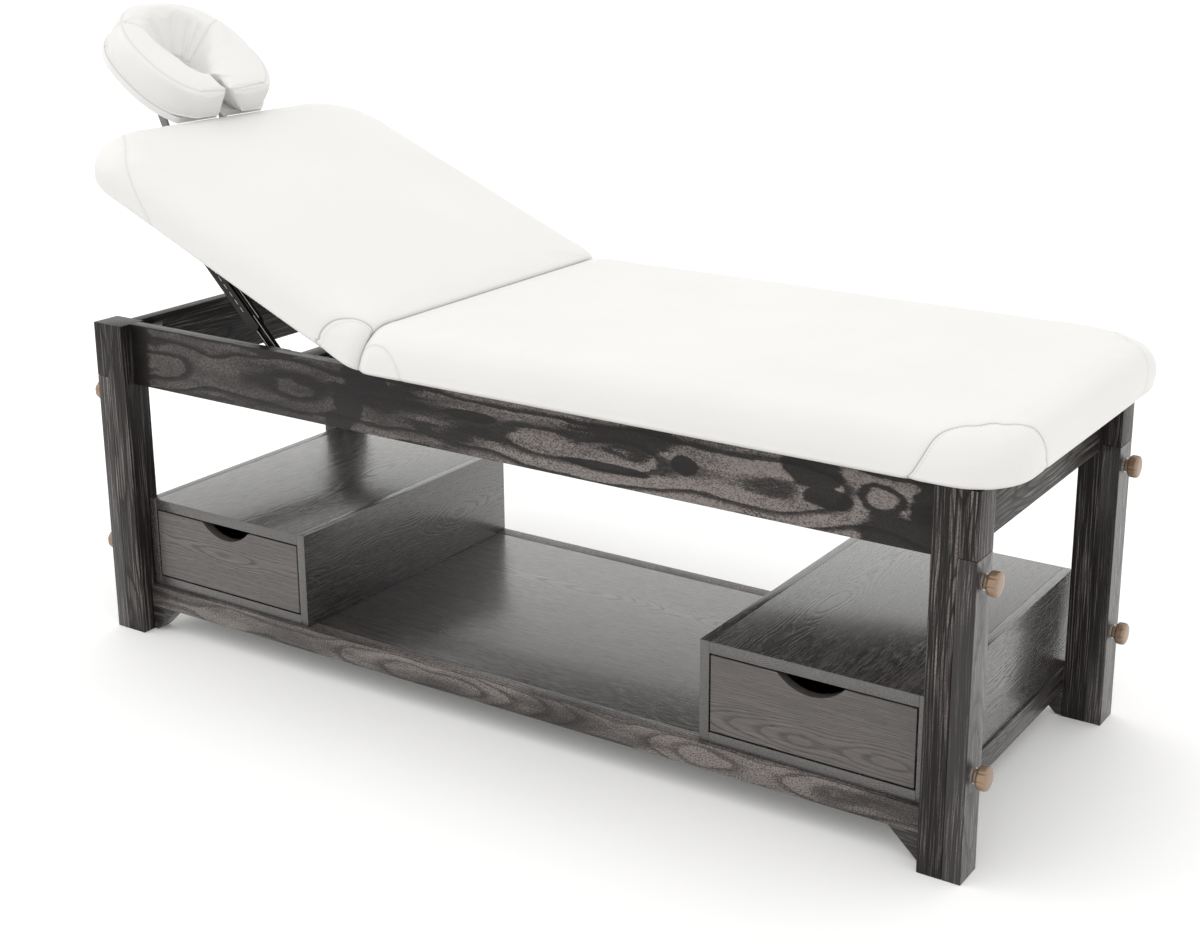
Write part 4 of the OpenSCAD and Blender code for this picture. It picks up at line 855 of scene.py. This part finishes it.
def finished_pad(node, mesh, place, seams, body, end):
    """Skins, swells and sews a pad, pressed flat against its neighbour at its end: side, start and lean"""
    skin = remeshed(mesh, sizes().pad_cell, 6)
    held = np.clip((0.016 - coordinates(skin)[:, 2]) / 0.012, 0, 1)
    skin = plumped(skin, sizes().pad_swell, held)
    co = coordinates(skin)
    face = end[1] + end[2] * co[:, 2]
    co[:, 0] = np.maximum(co[:, 0], face) if end[0] > 0 else np.minimum(co[:, 0], face)
    set_coordinates(skin, co)
    near, seam_shade = sewn(skin, seams, sizes().seam_depth)
    # Stitches go only along seams with more than half painted shade
    rows = seam_paths(skin, np.where(seam_shade > STITCHED_SHADE, near, 1.0), STITCH_OFFSET)
    skin.transform(place)
    skin.shade_smooth()
    piece = new_piece(node + "_cover", skin, body, "white vinyl", node)
    return piece, [np.array([place @ Vector(p) for p in r]) for r in rows]


# ---------------- operators

class SPABED_OT_woodwork(bpy.types.Operator):
    """Gives the rails, legs, blocks, shelf and boards their eased edges and grain"""
    bl_idname = "spabed.woodwork"
    bl_label = "Woodwork"

    def execute(self, context):
        for i, node in enumerate(WOODWORK):
            eased_boards(node, WOOD_FINISH.get(node, "stained ash"), i + 1, centred=node == "side_rail_near")
        for i, node in enumerate(BOARDS):
            eased_boards(node, "stained ash inside", 40 + i)
        return {"FINISHED"}


class SPABED_OT_cabinets(bpy.types.Operator):
    """Makes the two cabinet cases and their drawers"""
    bl_idname = "spabed.cabinets"
    bl_label = "Cabinets and drawers"

    def execute(self, context):
        for i, node in enumerate(CABINETS):
            eased_boards(node, "stained ash case", 50 + i, edge=0.001)
        for i, node in enumerate(FRONTS):
            eased_boards(node, "stained ash fronts", 60 + i, edge=0.0012)
        for i, node in enumerate(BOXES):
            eased_boards(node, "stained ash inside", 70 + i, 0.001)
        return {"FINISHED"}


# The stays' painted glints: metres along the stay from its upper pivot, in from its face, above its middle
SLOTS, SLOT_START, SLOT_LONG, SLOT_STEP, SLOT_OUT, SLOT_HIGH = 8, 0.0305, 0.011, 0.0186, -0.0067, -0.003
TOP_EDGE = (0.031, 0.2, 0.0, 0.015)
LIPS = ((0.19, 0.31, -0.0031, 0.0098), (0.19, 0.31, -0.0031, -0.0054))


class SPABED_OT_fittings(bpy.types.Operator):
    """Finishes the knobs, clamps, hinges, stays, runners and the cradle's ironwork"""
    bl_idname = "spabed.fittings"
    bl_label = "Fittings"

    def execute(self, context):
        for name, nodes in (("black steel coat", BLACK_STEEL), ("grey arm paint", ("cradle_yoke",)),
                            ("plated steel", PLATED)):
            for node in nodes:
                materials = frame["nodes"][node].data.materials
                materials.clear()
                materials.append(finish(name))
        for node in KNOBS:
            new_piece(node + "_turned", knob_mesh(node), BODY[node], "bronze", node)
        joints = {j["name"]: j for j in BEHAVIOUR["joints"]}
        along, top = Vector(joints["stay_slide_near"]["axis"]), Vector(joints["stay_swing_near"]["pos_m"])
        up = Vector((-along.z, 0, along.x))
        for side, where in ((-1, "near"), (1, "far")):
            def row(start, stop, deep, high):
                foot = Vector((top.x, side * (abs(top.y) - deep), top.z)) + up * high
                return np.array([foot + along * s for s in (start, stop)])
            starts = [SLOT_START + k * SLOT_STEP for k in range(SLOTS)]
            slots = [row(s, s + SLOT_LONG, SLOT_OUT, SLOT_HIGH) for s in starts]
            # Painted glints: bright strips at the slots and along the top edge of the outer stay, and along
            # the lips of the inner stay
            painted_glints("stay_slot_glints_" + where, slots + [row(*TOP_EDGE)], "stay_outer_" + where)
            painted_glints("stay_lip_glints_" + where, [row(*lip) for lip in LIPS], "stay_inner_" + where)
        return {"FINISHED"}


PAD_SEAMS_FOOT = ((0.138, 0.044, 2.6), (0.138, 0.032, 3.0), 0.09)
PAD_SEAMS_HINGE = ((0.086, 0.024, 2.6), (0.033, 0.004, 2.0), 0.1)
PAD_SEAMS_HEAD = ((0.13, 0.125, 1.2), (0.11, 0.04, 1.2), 0.095)


class SPABED_OT_flat_pad(bpy.types.Operator):
    """Makes the long flat pad, whose hinge end leans to meet the back section"""
    bl_idname = "spabed.flat_pad"
    bl_label = "Flat pad"

    def execute(self, context):
        lean = math.tan(REST_TILT)
        x0 = HINGE.x + (PAD_LOW.z - HINGE.z) * lean + 0.0006
        mesh = pad_mesh(x0 - 0.007, PAD_HIGH.x, PAD_HIGH.y, 0.0895, lean, 0.0, x0 + 0.02)
        place = Matrix.Translation((0, 0, PAD_LOW.z))
        # Painted shade on the seams: full on the near foot corner, faint on the far foot corner and on the
        # hinge patches
        seams = [(corner(PAD_HIGH.x, -1, side, *PAD_SEAMS_FOOT), seam_shade) for side, seam_shade in ((-1, 1.0), (1, 0.1))]
        seams += [(patch((x0 + 0.06, side * 0.376, 0.008), (0.05, 0.04, 0.055)), 0.15) for side in (-1, 1)]
        piece, rows = finished_pad("flat_pad", mesh, place, seams, None, (1, x0, lean))
        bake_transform(piece)
        stitches("flat_pad_stitches", [r for r in rows if r[:, 0].mean() > HINGE.x + 0.4], "bed_frame")
        return {"FINISHED"}


class SPABED_OT_back_pad(bpy.types.Operator):
    """Makes the pad of the lifting back section"""
    bl_idname = "spabed.back_pad"
    bl_label = "Back pad"

    def execute(self, context):
        mesh = pad_mesh(-0.0062, 0.752, 0.376, 0.09, 0.0, 0.012, 0.02)
        mesh.transform(Matrix.Rotation(math.pi, 4, "Z"))
        place = ON_BACK @ Matrix.Translation((0, 0, 0.0055))
        # Painted shade on the seams: strong at the hinge corners, faint at the head corners
        seams = [(corner(0, -1, side, *PAD_SEAMS_HINGE), 0.8) for side in (-1, 1)]
        seams += [(corner(-0.752, 1, side, *PAD_SEAMS_HEAD), 0.12) for side in (-1, 1)]
        _, rows = finished_pad("back_pad", mesh, place, seams, "back_section", (-1, -0.0008, 0))
        stitches("back_pad_stitches", rows, "back_section")
        return {"FINISHED"}


# Cross-sections of the cradle's cushion at the tips, along the lobes and round the head end, where it is a
# funnel: share of the way from the inner to the outer edge, and share of the height
OUTER_SIDE = [(0.05, 0), (0.95, 0), (0.985, 0.05), (1.0, 0.35), (0.995, 0.68), (0.975, 0.87)]
TIP = OUTER_SIDE + [(0.92, 0.965), (0.7, 1.01), (0.45, 1.02), (0.25, 1.0), (0.12, 0.96), (0.03, 0.86),
                    (0, 0.6), (0, 0.25)]
LOBE = OUTER_SIDE + [(0.93, 0.96), (0.76, 1.03), (0.5, 1.045), (0.27, 1.01), (0.12, 0.92), (0.03, 0.75),
                     (0, 0.5), (0, 0.2)]
HEAD = OUTER_SIDE + [(0.945, 0.97), (0.85, 1.07), (0.71, 1.115), (0.59, 1.04), (0.46, 0.82), (0.3, 0.56),
                     (0.15, 0.33), (0.03, 0.15)]
SECTION_STEPS = 7
SECTION_POINTS = SECTION_STEPS * len(TIP)
CUSHION_LOW, CUSHION_THICK, CUSHION_LONG, CUSHION_WIDE = 0.0244, 0.065, 0.157, 0.156
SLIT, SLIT_ASIDE, SLIT_UNDER, SLIT_FAR = 0.0032, 0.024, 0.055, 0.034
TIP_FRONT, TIP_LEAN, TIP_BACK = 0.139, 0.008, 0.0147
FACE_LONG, FACE_WIDE = 0.128, 0.096
TIP_TURN, FUNNEL_TURNS = 34, (88, 138)
WELT_AT, SEAM_FAR, SEAM_NEAR = 6.3, 118, 232


def cushion_ring(t):
    """One section of the cushion at a turn, in degrees, from its open end"""
    way = math.cos(math.radians(t)), math.sin(math.radians(t))
    rim = [math.copysign(abs(v) ** (2 / 2.4), v) for v in way]
    u, flip, far = (360 - t, -1, 0) if t > 180 else (t, 1, 1)
    a0 = math.degrees(math.asin(SLIT / FACE_WIDE))
    tip, mouth = TIP_FRONT - TIP_BACK, FACE_LONG / 2 * math.cos(math.radians(a0))
    if u < TIP_TURN:
        inner = np.array((tip + (mouth - tip) * u / TIP_TURN, flip * SLIT / 2))
    else:
        turn = math.radians(a0 + (180 - a0) * (u - TIP_TURN) / (180 - TIP_TURN))
        inner = np.array((FACE_LONG / 2 * math.cos(turn), flip * FACE_WIDE / 2 * math.sin(turn)))
    lobe, head = eased_step(u, 12, 50), eased_step(u, *FUNNEL_TURNS)
    inner *= 1 - 0.28 * head
    inner[1] -= far * SLIT_FAR * eased_step(inner[0], -0.05, 0.03) * (1 - eased_step(inner[0], 0.05, 0.09))
    on_tip, on_lobe, on_head = (
        smooth_line(row + row[:1], SECTION_POINTS + 1)[:-1] for row in (TIP, LOBE, HEAD))
    line = on_tip * (1 - lobe) + (on_lobe * (1 - head) + on_head * head) * lobe
    outer = np.column_stack([np.minimum(CUSHION_LONG * rim[0], TIP_FRONT - TIP_LEAN * line[:, 1]),
                             np.full(SECTION_POINTS, CUSHION_WIDE * rim[1])])
    flat = inner + (outer - inner) * line[:, :1]
    bend = np.maximum(0, 1 - np.abs(flat[:, 1]) / (0.57 * CUSHION_WIDE))
    bend = bend * eased_step(flat[:, 0], 0, TIP_FRONT)
    flat[:, 1] += bend * (far * SLIT_UNDER * (1 - line[:, 1]) - SLIT_ASIDE)
    lift = np.clip((flat[:, 0] - 0.107) / 0.05, 0, 1) * 0.014 * (1 - line[:, 1])
    return np.column_stack([flat, CUSHION_LOW + line[:, 1] * CUSHION_THICK + lift])


def cushion_seams(grid, turn, share):
    """Distance of each point of the cushion's grid to its two cross seams or its welt"""
    reach = np.hypot(grid[..., 0], grid[..., 1])
    inward = np.clip((share - 6) / 7, 0, 1) * 10
    seam = np.full(share.shape, 1.0)
    for at in (SEAM_FAR + inward, SEAM_NEAR - inward * 0.5):
        seam = np.where(np.abs(turn - at) < 25, np.radians(turn - at) * reach, seam)
    seam = np.where((share < 1.5) | (share > 13.5), 1.0, seam)
    along = np.cumsum(np.linalg.norm(np.roll(grid, -1, 1) - grid, axis=2), axis=1)
    start = int(WELT_AT * SECTION_STEPS)
    welt = along - along[:, start:start + 1]
    return np.where(np.abs(welt) < np.abs(seam), welt, seam)


class SPABED_OT_face_cradle(bpy.types.Operator):
    """Makes the face cradle's cushion, with its welt, seams and gathers, and its covered platform"""
    bl_idname = "spabed.face_cradle"
    bl_label = "Face cradle"

    def execute(self, context):
        turns = np.linspace(1.5, 358.5, 216)
        shape = len(turns), SECTION_POINTS
        skin, n = shell([cushion_ring(t) for t in turns]), len(turns) * SECTION_POINTS
        held = np.clip((CUSHION_LOW + 0.012 - coordinates(skin)[:, 2]) / 0.01, 0, 1)
        skin = plumped(skin, sizes().pad_swell * 0.5, held)
        co, no = coordinates(skin), normals_of(skin)
        turn = np.repeat(turns, SECTION_POINTS).reshape(shape)
        share = np.tile(np.arange(SECTION_POINTS) / SECTION_STEPS, (len(turns), 1))
        seam = cushion_seams(co[:n].reshape(*shape, 3), turn, share)
        depth = sizes().seam_depth * 0.55 * np.exp(-(seam / 0.0035) ** 2)
        wave = np.radians(turn)
        fold = np.sin(wave * 15 + 1.3 * np.sin(wave * 5)) + 0.3 * np.sin(wave * 27 + 2)
        funnel = eased_step(turn, 126, 138) * (1 - eased_step(turn, 222, 234))
        wall = eased_step(share, 8.8, 10.2) * (1 - eased_step(share, 13.2, 13.9))
        depth += 0.0021 * fold * funnel * wall
        co[:n] -= no[:n] * depth.reshape(-1, 1)
        set_coordinates(skin, co)
        # Faint painted shade along the cushion's seams and welt
        marked(skin, np.append(seam.ravel(), [1.0] * (len(co) - n)), 0.18)
        skin.transform(ON_CRADLE)
        skin.shade_smooth()
        piece = new_piece("cradle_cushion_cover", skin, BODY["cradle_cushion"], "white vinyl",
                          "cradle_cushion")
        bm = welded("cradle_platform")
        bmesh.ops.bevel(bm, geom=turned_edges(bm, 40), offset=0.0015, segments=3, affect="EDGES",
                        clamp_overlap=True)
        mesh = made_mesh(bm, "cradle_platform_covered", 35)
        marked(mesh, 1.0, 0.0)
        new_piece(mesh.name, mesh, BODY["cradle_platform"], "white vinyl", "cradle_platform")
        return {"FINISHED"}


FLOOR_HALF = 30
SKY, SKY_STRENGTHS, KEY_WAY = (1, 0.995, 0.985, 1), (0.92, 1.32), Vector((-0.3, -0.35, 0.89)).normalized()
LAMP_AIM = Vector((0, 0, 0.5))
LAMPS = (("overhead_light", (-0.4, 0.3, 3.6), 3.2, 2), ("left_light", (-3.4, -2.2, 2.6), 2.0, 12))
CAMERA_PLACE, CAMERA_LENS, CAMERA_SHIFT = (1.94564, -2.72359, 1.53091), 55.22, (-0.0564, -0.0770)
YAW, PITCH, ROLL = math.radians(31.85), math.radians(-15.93), math.radians(0.24)


class SPABED_OT_stage(bpy.types.Operator):
    """Makes the pale floor, the soft lights and the camera"""
    bl_idname = "spabed.stage"
    bl_label = "Stage"

    def execute(self, context):
        scene = bpy.context.scene
        mesh = bpy.data.meshes.new("studio_floor")
        corners = ((-1, -1), (1, -1), (1, 1), (-1, 1))
        mesh.from_pydata([(x * FLOOR_HALF, y * FLOOR_HALF, 0) for x, y in corners], [], [(0, 1, 2, 3)])
        new_piece("studio_floor", mesh, None, "studio floor")
        scene.world = bpy.data.worlds.new("studio")
        scene.world.use_nodes = True
        web = Tree(scene.world.node_tree)
        sky, way = web.tree.nodes["Background"].inputs, web.add("ShaderNodeTexCoord").outputs["Generated"]
        facing = web.vector("DOT_PRODUCT", way, KEY_WAY, out=1)
        web.put(sky["Strength"], web.range(facing, -1, 1, *SKY_STRENGTHS, smooth=False))
        web.put(sky["Color"], SKY)
        scene.view_settings.view_transform = "Standard"
        for name, place, size, power in LAMPS:
            lamp = bpy.data.lights.new(name, "AREA")
            lamp.shape, lamp.size, lamp.energy = "SQUARE", size, power
            obj = placed(name, lamp)
            obj.location = place
            obj.rotation_euler = (LAMP_AIM - Vector(place)).to_track_quat("-Z", "Y").to_euler()
        d = Vector((-math.sin(YAW) * math.cos(PITCH), math.cos(YAW) * math.cos(PITCH), math.sin(PITCH)))
        r = d.cross(Vector((0, 0, 1))).normalized()
        u, c, s = r.cross(d), math.cos(ROLL), math.sin(ROLL)
        turned = Matrix((r * c + u * s, u * c - r * s, -d)).transposed().to_4x4()
        camera = placed("camera", bpy.data.cameras.new("camera"))
        camera.matrix_world = Matrix.Translation(CAMERA_PLACE) @ turned
        camera.data.sensor_width, camera.data.lens = 36, CAMERA_LENS
        camera.data.shift_x, camera.data.shift_y = CAMERA_SHIFT
        camera.data.clip_start, camera.data.clip_end = 0.05, 100
        scene.camera = camera
        return {"FINISHED"}


STEPS = (SPABED_OT_woodwork, SPABED_OT_cabinets, SPABED_OT_fittings, SPABED_OT_flat_pad, SPABED_OT_back_pad,
         SPABED_OT_face_cradle, SPABED_OT_stage)


class SPABED_PT_panel(bpy.types.Panel):
    """Lists the steps that dress the bed, with their sizes and colours"""
    bl_idname = "SPABED_PT_panel"
    bl_label = "Spa bed"
    bl_space_type = "VIEW_3D"
    bl_region_type = "UI"
    bl_category = "Spa bed"

    def draw(self, context):
        for step in STEPS:
            self.layout.operator(step.bl_idname)
        for group in (context.scene.spa_bed_sizes, context.scene.spa_bed_colours):
            for name in group.__annotations__:
                self.layout.prop(group, name)


CLASSES = (SpaBedSizes, SpaBedColours, *STEPS, SPABED_PT_panel)


def register():
    for item in CLASSES:
        bpy.utils.register_class(item)
    bpy.types.Scene.spa_bed_sizes = bpy.props.PointerProperty(type=SpaBedSizes)
    bpy.types.Scene.spa_bed_colours = bpy.props.PointerProperty(type=SpaBedColours)


def unregister():
    del bpy.types.Scene.spa_bed_colours
    del bpy.types.Scene.spa_bed_sizes
    for item in reversed(CLASSES):
        bpy.utils.unregister_class(item)


def main():
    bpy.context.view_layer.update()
    register()
    for step in STEPS:
        area, name = step.bl_idname.split(".")
        if getattr(getattr(bpy.ops, area), name)() != {"FINISHED"}:
            raise RuntimeError(step.bl_label + " did not finish")


if __name__ == "__main__":
    main()
